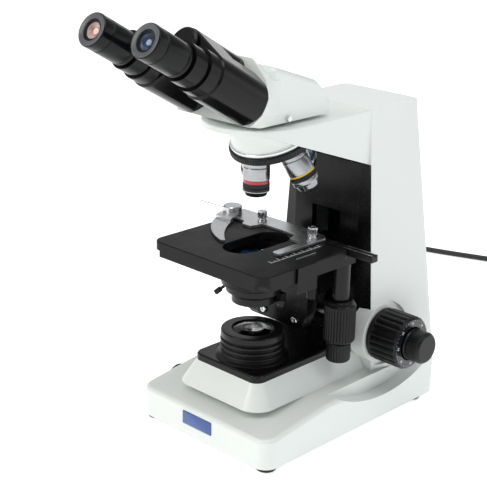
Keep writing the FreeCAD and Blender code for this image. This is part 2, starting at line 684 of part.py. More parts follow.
def y_knob():
    """The upper knob: moves the plate along Y. Its hollow stem runs up the tube."""
    knob = knurled(YKNOB_R, 84, 123.6, XSTEM_R + RUN_FIT, 24)
    stem_top = (DRIVE_X, DRIVE_Y, STAGE_TOP - STAGE_T - 1)
    stem = tube(STEM_R, XSTEM_R + RUN_FIT, (DRIVE_X, DRIVE_Y, 123.6), stem_top)
    return knob.fuse(stem)


def x_knob():
    """The lower knob: moves the slide holder along X. Its stem runs inside the upper knob's."""
    knob = knurled(XKNOB_R, 65, 83.6, 0, 20)
    stem = rod(XSTEM_R, (DRIVE_X, DRIVE_Y, 65), (DRIVE_X, DRIVE_Y, STAGE_TOP - STAGE_T + 1))
    return knob.fuse(stem).removeSplitter()


# The slide holder: a rail behind the plate, a cover bar, a fixed finger and a sprung claw.
RAIL_Y0, RAIL_Y1 = STAGE_BACK + GAP, STAGE_BACK + GAP + 8.0
HOLDER_Z = STAGE_TOP + GAP
HOLDER_T = 2.4
RAIL_END = 93.0
FINGER_X = 40.0
CLAW_X, CLAW_Y = -67.0, 40.0
BAR_BACK, BAR_FRONT = 58.0, 38.0
CLAW_PIN_R = 2.5
CLAW_T = 1.8


def holder_rail():
    """The toothed bar that slides along the plate's back edge, past the drive stem."""
    bar = box(-62, RAIL_END, RAIL_Y0, RAIL_Y1, STAGE_TOP - 6, HOLDER_Z)
    groove = box(-61, RAIL_END + 1, RAIL_Y0 + 2.5, RAIL_Y1 - 2.5, HOLDER_Z - 1, HOLDER_Z + 1)
    return bar.cut(groove)


def holder_plate():
    """The flat bar with the fixed finger that bounds the slide on two sides."""
    plan = [
        (-60, BAR_FRONT - 4), (-44, BAR_FRONT - 6), (-40, 25), (-30, 25), (-26, BAR_FRONT), (13, BAR_FRONT),
        (18, 26), (31, 26), (31, -10), (33, -12), (FINGER_X - 2, -12), (FINGER_X, -10),
        (FINGER_X - 1, 49), (33, 55), (8, BAR_BACK),
        (-68, BAR_BACK), (-75, 52), (-75, 36), (-70, 32),
    ]
    plate = prism(plan, HOLDER_Z, HOLDER_Z + HOLDER_T)
    return plate.cut(rod(CLAW_PIN_R + RUN_FIT, (CLAW_X, CLAW_Y, HOLDER_Z - 1), (CLAW_X, CLAW_Y, HOLDER_Z + 5)))


def holder_screw(x, y):
    top = HOLDER_Z + HOLDER_T
    profile = [(0, top), (4.2, top), (4.2, top + 1.5), (3.2, top + 2.2), (3.2, top + 3), (4.4, top + 3.4),
               (4.4, top + 9.4), (3.6, top + 10), (0, top + 10)]
    return turned(profile, (x, y, 0))


def holder_claw():
    """The curved spring claw and the knurled button that it turns on."""
    low = HOLDER_Z + HOLDER_T + 0.3
    outer = Part.Arc(V(-76, 38, 0), V(-61, 7, 0), V(-21, -21, 0)).toShape()
    tip = Part.LineSegment(V(-21, -21, 0), V(-18.5, -18, 0)).toShape()
    inner = Part.Arc(V(-18.5, -18, 0), V(-43, 8, 0), V(-58, 40, 0)).toShape()
    back = Part.Arc(V(-58, 40, 0), V(-67, 49, 0), V(-76, 38, 0)).toShape()
    outline = Part.Face(Part.Wire([outer, tip, inner, back])).extrude(V(0, 0, ARM_TOP))
    upper = outline.common(box(-90, 0, 20, 60, low, low + CLAW_T))
    step = outline.common(box(-90, 0, 20, 27, HOLDER_Z + 0.2, low + CLAW_T))
    lower = outline.common(box(-90, 0, -40, 27, HOLDER_Z + 0.2, HOLDER_Z + 0.2 + CLAW_T))
    top = low + CLAW_T
    button = turned([(0, top), (8.8, top), (9, top + 1), (9, top + 4.8), (8, top + 5.8), (0, top + 5.8)],
                    (CLAW_X, CLAW_Y, 0))
    pin = rod(CLAW_PIN_R, (CLAW_X, CLAW_Y, HOLDER_Z), (CLAW_X, CLAW_Y, low + 1))
    lever = rod(1.2, (CLAW_X - 8, CLAW_Y - 3, top + 1.5), (CLAW_X - 35, CLAW_Y - 9, top + 3.7))
    return upper.fuse([step, lower, button, pin, lever]).removeSplitter()


# ======================= condenser =======================

COND_LOW = 128.0          # underside of the condenser's barrel


def condenser_carrier():
    """The ring that holds the condenser, with the arm that slides on the bracket's guide."""
    ring = tube(COND_R + 4, COND_R, (0, 0, 138), (0, 0, 147))
    arm = box(-8, 8, COND_R + 1, 52 - GAP, 138, 147)
    yoke = box(-8, 8, 44, 52 - GAP, 112, 147)
    outline = [(-26, 90), (26, 90), (33, 107), (33, 140), (-33, 140), (-33, 107)]
    shield = prism(outline, 35, 48, "y")
    return ring.fuse([arm, yoke, shield]).removeSplitter()


def condenser_body():
    profile = [
        (14, COND_LOW), (20, COND_LOW), (22, COND_LOW + 2), (22, COND_LOW + 10),
        (COND_R, COND_LOW + 12), (COND_R, 152),
        (22, 156), (17, COND_TOP - 3), (15, COND_TOP - 3), (15, 150), (14, 148),
    ]
    return turned(profile)


def condenser_lens():
    base = 150
    top = COND_TOP
    return turned([(0, base), (15, base), (15, COND_TOP - 3), (14, COND_TOP - 1), (8, top), (0, top)])


LEVER_TURN = 207.0


def iris_lever():
    """The ring and its lever that open and close the diaphragm, low on the condenser."""
    low = COND_LOW + 3
    ring = turned([(22 + RUN_FIT, low), (24.5, low), (24.5, low + 5), (22 + RUN_FIT, low + 5)])
    a = math.radians(LEVER_TURN)
    out = V(math.cos(a), math.sin(a), 0)
    start = out * 23.6 + V(0, 0, low + 2.5)
    end = out * 33 + V(0, 0, low - 6)
    stalk = rod(1.4, tuple(start), tuple(end))
    tip = rod(2.4, tuple(end - (end - start).normalize() * 3), tuple(end + (end - start).normalize() * 3))
    return ring.fuse([stalk, tip])


FILTER_PIN = (22.5, 12.0)
FILTER_Z = COND_LOW - 7.0     # underside of the filter ring


def filter_holder():
    """The swing-out filter ring under the condenser, on a vertical pin."""
    z = FILTER_Z
    ring = turned([(16, z), (19.5, z), (19.5, z + 6.4), (17.5, z + 6.4), (17.5, z + 1.5), (16, z + 1.5)])
    x, y = FILTER_PIN
    lug = box(10, x, y - 4, y + 4, z, z + 3).fuse(rod(4, (x, y, z), (x, y, z + 3)))
    lug = lug.cut(rod(18, (0, 0, z - 1), (0, 0, z + 7)))
    return ring.fuse(lug).cut(rod(1.5 + RUN_FIT, (x, y, z - 9), (x, y, z + 11)))


def filter_pin():
    x, y = FILTER_PIN
    z = FILTER_Z
    pin = turned([(0, z - 3), (3, z - 3), (3, z - 0.4), (1.5, z - 0.4), (1.5, z + 5), (0, z + 5)], (x, y, 0))
    lug = box(x - 3, x + 3, y - 3, y + 3, z + 3.4, z + 7).fuse(box(12, x + 3, y - 3, y + 3, z + 7, z + 9.6))
    lug = lug.cut(rod(22, (0, 0, z + 8.99), (0, 0, z + 16))).cut(rod(19.6, (0, 0, z - 9), (0, 0, z + 7)))
    return pin.fuse(lug)


COND_KNOB_Y, COND_KNOB_Z = 62.0, 122.0


def condenser_knob():
    """The knob that raises the condenser, on the left of the bracket."""
    knob = turned(
        [(0, 0), (12, 0), (13, 1), (13, 13), (12, 14), (0, 14)], (-24, COND_KNOB_Y, COND_KNOB_Z), (-1, 0, 0)
    )
    stem = rod(3, (-24, COND_KNOB_Y, COND_KNOB_Z), (-9 - GAP, COND_KNOB_Y, COND_KNOB_Z))
    return knob.fuse(stem)


# ======================= binocular head =======================

def tube_direction():
    t = math.radians(INCLINE)
    return V(0, -math.cos(t), math.sin(t))


def upward():
    """The direction square to the tubes, upwards."""
    t = math.radians(INCLINE)
    return V(0, math.sin(t), math.cos(t))


HEAD_BACK_U = EYE_L + TUBE_L + RING_L + WING_L + 1.0


def tube_point(side, u):
    """A point on one tube's axis, u mm behind the eyepiece's face."""
    return V(side * IPD / 2, EYE_Y, EYE_Z) - tube_direction() * u


def hinge_point(u):
    return V(0, EYE_Y, EYE_Z) + upward() * HINGE_ABOVE - tube_direction() * u


def head_housing():
    """The pale prism housing: a deep body with a sloping roof, and a collar that carries the hinge."""
    low = ARM_TOP + HEAD_GAP
    wide = [(-37, low), (50, low), (50, low + 14), (43.5, low + 22.3), (34, low + 30.4), (-19.4, low + 48.5)]
    body = prism(wide, -HEAD_HW, HEAD_HW, "x")
    body = softened(body, 5, lambda e: abs(e.BoundBox.XMin) > HEAD_HW - 0.1 and abs(e.BoundBox.XMax) > HEAD_HW - 0.1
                    and e.BoundBox.ZMax > low + 20)
    centre, up = V(0, EYE_Y, EYE_Z) - tube_direction() * HEAD_BACK_U, upward()
    collar = [(42, -20), (50, -8), (50, 6), (40, 20), (17, 36)]
    root = [(32, 0), (36, 8), (36, 24), (36, 36), (14, 43)]
    collar += [(-x, w) for x, w in reversed(collar)]
    root += [(-x, z) for x, z in reversed(root)]
    front = [V(x, 0, 0) + centre + up * w for x, w in collar]
    back = [V(x, COLLAR_BACK, low + z) for x, z in root]
    lug = loft([Part.makePolygon(front + front[:1]), Part.makePolygon(back + back[:1])])
    body = body.fuse(lug).removeSplitter()
    body = body.cut(turned([(0, low - 1), (24.6, low - 1), (21.6, low + 6), (0, low + 6)]))
    return body


def head_screw():
    """The clamping screw low on the head's right side."""
    y, z = -3.0, ARM_TOP + HEAD_GAP + 3.4
    return rod(2.4, (HEAD_HW, y, z), (HEAD_HW + 3.5, y, z))


def hinge_hub():
    """The hinge pin with its round front cap."""
    back, front = hinge_point(HEAD_BACK_U), hinge_point(HEAD_BACK_U - 1 - WING_L)
    along = tube_direction()
    pin = rod(HUB_PIN_R, tuple(back), tuple(front + along * 0.4))
    cap_r = WING_HUB_R - 0.8
    cap = turned([(0, 0), (cap_r, 0), (cap_r, 1.6), (cap_r - 1.6, 3), (0, 3)],
                 tuple(front + along * 0.4), tuple(along))
    return pin.fuse(cap)


def lobe(side, u0, u1):
    """The hull of the hinge's circle and the tube's circle, from u0 to u1 behind the eyepiece's face."""
    along = tube_direction()
    hub, eye = hinge_point(u0), tube_point(side, u0)
    spread = eye - hub
    distance = spread.Length
    unit = V(spread).normalize()
    lean = math.asin((WING_TUBE_R - WING_HUB_R) / distance)
    across = along.cross(unit)
    corners = []
    for sign in (-1, 1):
        normal = across * (sign * math.cos(lean)) - unit * math.sin(lean)
        corners.append((hub + normal * WING_HUB_R, eye + normal * WING_TUBE_R))
    (h0, e0), (h1, e1) = corners
    wire = Part.Wire([
        Part.LineSegment(h0, e0).toShape(),
        Part.Arc(e0, eye + unit * WING_TUBE_R, e1).toShape(),
        Part.LineSegment(e1, h1).toShape(),
        Part.Arc(h1, hub - unit * WING_HUB_R, h0).toShape(),
    ])
    return Part.Face(wire).extrude(along * (u0 - u1))


def wing(side):
    """One half of the binocular: its prism box turns on the hub, and its tube holds the eyepiece.

    Near the hub the right half takes the front of the hinge and the left half the back."""
    along = tube_direction()
    back, front = HEAD_BACK_U - 1.0 + 0.6, HEAD_BACK_U - 1.0 + 0.6 - WING_L
    middle = (back + front) / 2
    body = lobe(side, back, front)
    plane = (V(0, EYE_Y, EYE_Z) - along * front).dot(along)
    shoulder = [e for e in body.Edges if all(abs(v.Point.dot(along) - plane) < 1e-4 for v in e.Vertexes)]
    body = body.makeChamfer(SHOULDER, shoulder)
    if side > 0:
        away = (back + 1, middle - 0.2)
    else:
        away = (middle + 0.2, front - 1)
    body = body.cut(rod(WING_STEP_R + 0.2, tuple(hinge_point(away[0])), tuple(hinge_point(away[1]))))
    body = body.cut(rod(HUB_PIN_R + RUN_FIT, tuple(hinge_point(back + 5)), tuple(hinge_point(front - 5))))
    ring_end = front - RING_L
    if side > 0:
        body = body.fuse(rod(RING_R, tuple(tube_point(side, front)), tuple(tube_point(side, ring_end))))
    barrel = rod(TUBE_R, tuple(tube_point(side, front)), tuple(tube_point(side, ring_end - TUBE_L + 0.6)))
    body = body.fuse(barrel)
    return body.cut(rod(SLEEVE_R + RUN_FIT, tuple(tube_point(side, back + 1)), tuple(tube_point(side, EYE_L - 1))))


def diopter_ring():
    front = HEAD_BACK_U - 1.0 + 0.6 - WING_L
    a, b = tube_point(-1, front - 0.3), tube_point(-1, front - RING_L)
    return tube(RING_R, TUBE_R + RUN_FIT, tuple(a), tuple(b))


def eyepiece(side):
    """A wide-field eyepiece: a sleeve in the tube, a barrel, and a dished face round the eye lens."""
    face = tube_point(side, 0)
    back = -tube_direction()
    profile = [
        (0, 3), (8.6, 3), (8.6, 1.2), (EYE_R - 1.2, 0), (EYE_R, 1.2), (EYE_R, EYE_L - 3),
        (EYE_R - 0.8, EYE_L - 2.4),
        (EYE_R - 0.8, EYE_L - 0.4), (SLEEVE_R, EYE_L - 0.4), (SLEEVE_R, EYE_L + 24), (9, EYE_L + 24),
        (9, 10), (0, 10),
    ]
    return turned(profile, tuple(face), tuple(back))


# ======================= mains cord =======================

# The route's points, chosen by hand: from the connector down to the bench, back behind the arm,
# round to the right and on to the coil.
CORD_ROUTE = [
    (-45.0, 204.0, 20.0),
    (-45.0, 232.0, 20.0),
    (-52.0, 272.0, 6.0),
    (-70.0, 318.0, 3.4),
    (-112.0, 366.0, 3.4),
    (-172.0, 402.0, 3.4),
    (-214.0, 448.0, 3.4),
    (-206.0, 492.0, 3.4),
    (-160.0, 505.0, 3.4),
    (-98.0, 529.0, 3.4),
    (-58.0, 545.0, 3.4),
    (-26.0, 549.0, 3.4),
]
COIL_CENTRE = (-20.0, 588.0)


def cord_arcs(points):
    """Each bend's centre-line radius and its three arc points."""
    bends = []
    for i in range(1, len(points) - 1):
        a, b, c = (V(*points[k]) for k in (i - 1, i, i + 1))
        before, after = a - b, c - b
        turn = math.pi - before.getAngle(after)
        shorter = min(before.Length, after.Length)
        radius = 0.45 * shorter / math.tan(turn / 2)
        reach = 0.45 * shorter
        first, last = b + V(before).normalize() * reach, b + V(after).normalize() * reach
        inward = (V(before).normalize() + V(after).normalize()).normalize()
        middle = b + inward * (radius / math.cos(turn / 2) - radius)
        bends.append((radius, first, middle, last))
    return bends


def cord_tube():
    bends = cord_arcs(CORD_ROUTE)
    edges = []
    here = V(*CORD_ROUTE[0])
    for radius, first, middle, last in bends:
        edges.append(Part.LineSegment(here, first).toShape())
        edges.append(Part.Arc(first, middle, last).toShape())
        here = last
    edges.append(Part.LineSegment(here, V(*CORD_ROUTE[-1])).toShape())
    path = Part.Wire(edges)
    start = V(*CORD_ROUTE[0])
    across = V(*CORD_ROUTE[1]) - start
    section = Part.Wire([Part.Circle(start, across, CORD_D / 2).toShape()])
    solid = path.makePipeShell([section], True, False)
    expected = math.pi * (CORD_D / 2) ** 2 * path.Length
    print("cord bend radii:", [round(b[0], 1) for b in bends])
    print("cord tube length %.1f, volume %.0f of %.0f" % (path.Length, solid.Volume, expected))
    return solid


def cord_coil():
    """The outer shape of the coiled rest of the cord, a flat-bottomed ring."""
    wide = 2 * CORD_D
    high = 3 * CORD_D + 0.2
    profile = [
        (COIL_MEAN_R - wide / 2, 0.2), (COIL_MEAN_R + wide / 2, 0.2), (COIL_MEAN_R + wide / 2, high - 3),
        (COIL_MEAN_R + wide / 2 - 3, high), (COIL_MEAN_R - wide / 2 + 3, high),
        (COIL_MEAN_R - wide / 2, high - 3),
    ]
    return turned(profile, (COIL_CENTRE[0], COIL_CENTRE[1], 0))


def cord_connector():
    """The moulded connector in the inlet, with a short strain relief."""
    w, h = CONNECTOR_W / 2, CONNECTOR_H / 2
    body = box(INLET_X - w, INLET_X + w, BASE_BACK - 14, BASE_BACK + 16, INLET_Z - h, INLET_Z + h)
    neck = rod(5.2, (INLET_X, BASE_BACK + 16, INLET_Z), (INLET_X, BASE_BACK + 28, INLET_Z))
    return body.fuse(neck).removeSplitter()


PLUG_AT = (COIL_CENTRE[0] + 17.5, COIL_CENTRE[1] + 22.0)


def cord_plug():
    """The mains plug, lying on the coil."""
    x, y = PLUG_AT
    z = 3 * CORD_D + 0.4
    body = box(x - 13, x + 13, y - 18, y + 18, z, z + 22)
    body = softened(body, 3, lambda e: abs(e.BoundBox.ZLength) > 5)
    for side in (-1, 1):
        pin = box(x + side * 6.3 - 0.8, x + side * 6.3 + 0.8, y + 18, y + 34, z + 8, z + 14)
        body = body.fuse(pin)
    neck = rod(5, (x, y - 18, z + 6), (x, y - 27, z + 6))
    return body.fuse(neck)


# ======================= all pieces =======================

SCREWS = [(-32.0, 43.0), (30.0, 42.0)]

save("base_casting", base_casting())
save("base_floor", base_floor())
for number, (x, y) in enumerate(FEET, 1):
    save("foot_%d" % number, foot(x, y))
save("deck_plate", deck_plate())
save("lamp_housing", lamp_housing())
save("field_lens", field_lens())
save("led_module", led_module())
save("power_inlet", power_inlet())
save("power_switch", power_switch())
save("brightness_knob", brightness_knob())
save("badge", badge())
save("arm_cover", arm_cover())
save("column_panel", column_panel())
save("column_frame", column_frame())
save("arm_carrier", arm_carrier())
save("nosepiece_mount", nosepiece_mount())
save("head_dovetail", head_dovetail())
save("turret", turret())
save("objective_4x", objective(0, 30.2, LOW_POWER))
save("objective_10x", objective(1, 34.8, TEN_POWER))
save("objective_40x", objective(2, 43.8, HIGH_POWER))
save("objective_100x", objective(3, 44.9, OIL_POWER))
save("fine_slide", fine_slide())
save("focus_slide", focus_slide())
save("focus_shaft", focus_shaft())
for name, side in (("right", 1), ("left", -1)):
    save("coarse_knob_" + name, coarse_knob(side))
    save("wing_" + name, wing(side))
    save("eyepiece_" + name, eyepiece(side))
save("fine_knob_right", fine_knob(1))
save("fine_knob_left", fine_knob(-1).fuse(fine_shaft()).removeSplitter())
save("stage_top_plate", stage_top_plate())
save("stage_lower_plate", stage_lower_plate())
save("drive_housing", drive_housing())
save("y_knob", y_knob())
save("x_knob", x_knob())
save("holder_rail", holder_rail())
save("holder_plate", holder_plate())
for number, (x, y) in enumerate(SCREWS, 1):
    save("holder_screw_%d" % number, holder_screw(x, y))
save("holder_claw", holder_claw())
save("condenser_carrier", condenser_carrier())
save("condenser_body", condenser_body().fuse(filter_pin()).removeSplitter())
save("condenser_lens", condenser_lens())
save("iris_lever", iris_lever())
save("filter_holder", filter_holder())
save("condenser_knob", condenser_knob())
save("head_housing", head_housing())
save("head_screw", head_screw())
save("hinge_hub", hinge_hub())
save("diopter_ring", diopter_ring())
save("cord_tube", cord_tube().cut(cord_coil()))
save("cord_coil", cord_coil())
save("cord_connector", cord_connector())
save("cord_plug", cord_plug())
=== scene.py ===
import json
import math

import bmesh
import bpy
import numpy as np
from mathutils import Matrix, Vector


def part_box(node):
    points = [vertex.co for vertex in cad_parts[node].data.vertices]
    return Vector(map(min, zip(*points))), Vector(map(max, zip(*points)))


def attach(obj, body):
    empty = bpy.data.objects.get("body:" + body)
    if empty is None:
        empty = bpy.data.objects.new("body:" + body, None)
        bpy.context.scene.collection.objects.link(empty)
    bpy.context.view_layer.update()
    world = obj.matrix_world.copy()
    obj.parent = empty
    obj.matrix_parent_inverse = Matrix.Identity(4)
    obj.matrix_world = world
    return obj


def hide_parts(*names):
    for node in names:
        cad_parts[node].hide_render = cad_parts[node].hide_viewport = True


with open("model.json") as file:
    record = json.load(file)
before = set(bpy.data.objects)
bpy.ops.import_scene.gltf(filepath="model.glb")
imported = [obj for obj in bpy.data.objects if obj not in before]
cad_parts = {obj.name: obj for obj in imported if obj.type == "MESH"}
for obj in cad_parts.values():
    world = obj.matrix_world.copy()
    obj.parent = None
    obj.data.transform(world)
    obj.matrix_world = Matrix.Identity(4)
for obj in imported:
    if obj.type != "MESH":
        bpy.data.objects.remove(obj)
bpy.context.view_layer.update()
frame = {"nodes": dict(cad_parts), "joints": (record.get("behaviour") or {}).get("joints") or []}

bl_info = {
    "name": "Laboratory Microscope",
    "version": (1, 0, 0),
    "blender": (4, 5, 0),
    "location": "View3D > Sidebar > Microscope",
    "description": "Dresses the CAD frame of a binocular microscope with finished surfaces",
    "category": "Object",
}

# Lengths are in millimetres up to the mesh builder, which writes metres.
MM = 0.001
JOINTS = {joint["name"]: joint for joint in frame["joints"]}


# ---------------------------------------------------------------- frame data

def low(node):
    """A CAD node's lowest corner in mm."""
    return np.array(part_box(node)[0]) / MM


def high(node):
    """A CAD node's highest corner in mm."""
    return np.array(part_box(node)[1]) / MM


def middle(node):
    return (low(node) + high(node)) / 2


def joint_point(name):
    return np.array(JOINTS[name]["pos_m"], float) / MM


def unit(vector):
    vector = np.asarray(vector, float)
    return vector / np.linalg.norm(vector)


def across(axis):
    """Two unit vectors square to an axis and to each other; the first is as level as can be."""
    axis = unit(axis)
    level = np.cross((0, 0, 1), axis) if abs(axis[2]) < 0.99 else np.array((1.0, 0, 0))
    level = unit(level - axis * np.dot(level, axis))
    return level, np.cross(axis, level)


def joint_axis(name):
    return unit(JOINTS[name]["axis"])


UP = (0, 0, 1)
TUBE_DIRECTION = joint_axis("diopter_turn")          # from the head towards the user's eyes
TURRET_CENTRE = joint_point("nosepiece_turn")
TURRET_AXIS = joint_axis("nosepiece_turn")
FOCUS_AXIS = joint_point("coarse_turn")


# ---------------------------------------------------------------- surfaces

def divided(line, step):
    """The line with points added so that none are further apart than step."""
    line = np.asarray(line, float)
    parts = [line[:1]]
    for a, b in zip(line[:-1], line[1:]):
        count = max(1, math.ceil(np.linalg.norm(b - a) / step))
        parts.append(a + (b - a) * (np.arange(1, count + 1) / count)[:, None])
    return np.concatenate(parts)


def softened(line, reach=0.5, steps=3):
    """An open line whose inner corners are cut by quadratic curves that start reach before each corner."""
    line = np.asarray(line, float)
    parts = [line[:1]]
    t = np.linspace(0, 1, steps + 1)[:, None]
    for a, b, c in zip(line[:-2], line[1:-1], line[2:]):
        first = b + (a - b) * min(0.45, reach / max(np.linalg.norm(a - b), 1e-9))
        last = b + (c - b) * min(0.45, reach / max(np.linalg.norm(c - b), 1e-9))
        parts.append((1 - t) ** 2 * first + 2 * t * (1 - t) * b + t ** 2 * last)
    parts.append(line[-1:])
    return np.concatenate(parts)


def turned(profile, origin=(0, 0, 0), axis=(0, 0, 1), count=96, grip=None):
    """A (radius, height) profile turned about an axis: point = origin + h * axis + r(h, a) * (cos a, sin a).

    The last pair is taken along two lines square to the axis, and grip(r, h, a) is added to the radius."""
    profile = np.asarray(profile, float)
    a = np.linspace(0, 2 * np.pi, count, endpoint=False)[None, :]
    r, h = profile[:, :1], profile[:, 1:]
    radius = r + np.zeros_like(a) + (0 if grip is None else grip(r, h, a))
    level, other = across(axis)
    spoke = np.cos(a)[..., None] * level + np.sin(a)[..., None] * other
    return np.asarray(origin, float) + h[..., None] * unit(axis) + radius[..., None] * spoke


def ribs(count, depth, start, end, least, power=1.0, fade=0.8):
    """A grip of equal grooves: depth * (half wave of the angle) ** power, faded out at both ends."""
    def change(r, h, a):
        window = np.clip((h - start) / fade, 0, 1) * np.clip((end - h) / fade, 0, 1) * (r > least)
        return -depth * window * (0.5 + 0.5 * np.cos(count * a)) ** power
    return change


def rounded(points, radii, steps=6):
    """A closed outline with each corner rounded by its own radius: tangent arcs, points evenly along them."""
    points = np.asarray(points, float)
    t = np.linspace(0, 1, steps + 1)
    parts = []
    for i, here in enumerate(points):
        before, after = unit(points[i - 1] - here), unit(points[(i + 1) % len(points)] - here)
        half = math.acos(np.clip(np.dot(before, after), -1, 1)) / 2
        centre = here + unit(before + after) * radii[i] / math.sin(half)
        first, last = here + before * radii[i] / math.tan(half), here + after * radii[i] / math.tan(half)
        sweep = math.pi - 2 * half
        u, v = unit(first - centre), unit(last - centre)
        turn = np.sin((1 - t) * sweep)[:, None] * u + np.sin(t * sweep)[:, None] * v
        parts.append(centre + radii[i] * turn / math.sin(sweep))
    return np.concatenate(parts)


def inset(outline, by):
    """A closed outline moved inwards: each point goes along its mitre, the sum of its sides' unit normals."""
    side = np.roll(outline, -1, 0) - outline
    side = side / np.maximum(np.linalg.norm(side, axis=1), 1e-9)[:, None]
    normal = np.stack([-side[:, 1], side[:, 0]], 1)
    area = np.sum(outline[:, 0] * np.roll(outline[:, 1], -1) - np.roll(outline[:, 0], -1) * outline[:, 1])
    mitre = normal + np.roll(normal, 1, 0)
    mitre = mitre / np.maximum(np.sum(mitre ** 2, 1), 0.5)[:, None] * 2
    return outline + mitre * by * np.sign(area)


def plate(outline, low_z, high_z, soft=0.4, steps=3, place=None):
    """A flat piece with quarter-round edges: the outline at each height, drawn in by the edge's circle.

    place turns its (x, y, z) rows into the object's frame."""
    t = np.linspace(0, np.pi / 2, steps + 1)
    rows = [(soft * (1 - math.sin(x)), low_z + soft * (1 - math.cos(x))) for x in t]
    rows += [(soft * (1 - math.cos(x)), high_z - soft * (1 - math.sin(x))) for x in t]
    grid = [np.column_stack([inset(outline, d), np.full(len(outline), z)]) for d, z in rows]
    grid = np.array(grid)
    return grid if place is None else place(grid)


def bars(starts, ends, normal, width, thick):
    """Thin marks: one closed six-sided bar from each start to each end, lying square to the normal."""
    starts, ends = np.atleast_2d(starts).astype(float), np.atleast_2d(ends).astype(float)
    along = ends - starts
    side = np.cross(np.broadcast_to(normal, along.shape), along)
    side = side / np.linalg.norm(side, axis=1)[:, None] * width / 2
    rise = np.asarray(normal, float) * thick
    ring = np.stack([starts - side, starts + side, starts + side + rise, starts - side + rise], 1)
    far = np.stack([ends - side, ends + side, ends + side + rise, ends - side + rise], 1)
    return [np.stack([near, distant]) for near, distant in zip(ring, far)]


def build(name, body, shells, replaces=(), sharp=32.0):
    """Joins shells into one closed mesh object that rides on a body.

    A shell is (grid, material): rows of points, each row a closed ring, the first and last rows capped. The
    UV map holds the distance round the widest ring and the distance along the first column, in metres."""
    points, faces, uvs, skins, materials = [], [], [], [], []
    base = 0
    for grid, material in shells:
        rows, columns = grid.shape[:2]
        if material not in materials:
            materials.append(material)
        i, j = np.meshgrid(np.arange(rows - 1), np.arange(columns), indexing="ij")
        k = (j + 1) % columns
        quads = np.stack([i * columns + j, i * columns + k, (i + 1) * columns + k, (i + 1) * columns + j], -1)
        quads = quads.reshape(-1, 4) + base
        step = np.linalg.norm(np.roll(grid, -1, 1) - grid, axis=2)
        widest = step[np.argmax(step.sum(1))]
        around = np.concatenate([[0], np.cumsum(widest)]) * MM
        along = np.concatenate([[0], np.cumsum(np.linalg.norm(np.diff(grid[:, 0], axis=0), axis=1))]) * MM
        corner = [(around[j], along[i]), (around[j + 1], along[i]),
                  (around[j + 1], along[i + 1]), (around[j], along[i + 1])]
        uvs.append(np.stack([np.stack(pair, -1).reshape(-1, 2) for pair in corner], 1).reshape(-1, 2))
        faces += quads.tolist()
        skins += [materials.index(material)] * len(quads)
        for row, order in ((0, -1), (rows - 1, 1)):
            if step[row].sum() > 0.01:
                ring = (np.arange(columns) + row * columns + base)[::order]
                faces.append(ring.tolist())
                skins.append(materials.index(material))
                flat = grid[row][::order] - grid[row].mean(0)
                level, other = across(np.cross(flat[0], flat[columns // 4]) + 1e-9)
                uvs.append(np.column_stack([flat @ level, flat @ other]) * MM)
        points.append(grid.reshape(-1, 3))
        base += rows * columns
    mesh = bpy.data.meshes.new(name)
    mesh.from_pydata((np.concatenate(points) * MM).tolist(), [], faces)
    mesh.uv_layers.new(name="UVMap").data.foreach_set("uv", np.concatenate(uvs).astype(np.float32).ravel())
    mesh.polygons.foreach_set("material_index", skins)
    for material in materials:
        mesh.materials.append(material)
    work = bmesh.new()
    work.from_mesh(mesh)
    bmesh.ops.remove_doubles(work, verts=work.verts, dist=1e-6)
    bmesh.ops.recalc_face_normals(work, faces=work.faces)
    work.to_mesh(mesh)
    work.free()
    mesh.shade_smooth()
    mesh.set_sharp_from_angle(angle=math.radians(sharp))
    piece = bpy.data.objects.new(name, mesh)
    bpy.context.scene.collection.objects.link(piece)
    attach(piece, body)
    if replaces:
        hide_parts(*replaces)
    return piece


def dress(node, material, edge=0.35):
    """Gives a CAD node its material, and soft edges by modifiers: joined faces, small bevels, creases."""
    piece = frame["nodes"][node]
    for held in piece.material_slots:
        held.link = "OBJECT"
        held.material = material
    piece.data.polygons.foreach_set("use_smooth", np.ones(len(piece.data.polygons), bool))
    weld = piece.modifiers.new("Joined faces", "WELD")
    weld.merge_threshold = 2e-6
    if edge:
        bevel = piece.modifiers.new("Soft edges", "BEVEL")
        bevel.width = edge * MM
        bevel.segments = 2
        bevel.limit_method = "ANGLE"
        bevel.angle_limit = math.radians(28)
        bevel.harden_normals = False
    split = piece.modifiers.new("Creases", "EDGE_SPLIT")
    split.split_angle = math.radians(34)
    flat = piece.modifiers.new("Flat faces", "WEIGHTED_NORMAL")
    flat.keep_sharp = True
    return piece


# ---------------------------------------------------------------- materials

def linear(colour):
    """An sRGB hex colour as linear RGBA; a colour setting is linear already."""
    if not isinstance(colour, str):
        return (*colour, 1.0)
    c = np.array([int(colour[i:i + 2], 16) for i in (1, 3, 5)]) / 255
    c = np.where(c <= 0.04045, c / 12.92, ((c + 0.055) / 1.055) ** 2.4)
    return (*(float(x) for x in c), 1.0)


def add(tree, kind, links=(), **settings):
    """Adds a node. A setting is an attribute or, failing that, an input; links pair inputs with outputs."""
    made = tree.nodes.new(kind)
    for name, value in settings.items():
        if hasattr(made, name):
            setattr(made, name, value)
        else:
            made.inputs[name.replace("_", " ")].default_value = value
    for place, output in links:
        tree.links.new(output, made.inputs[place])
    return made


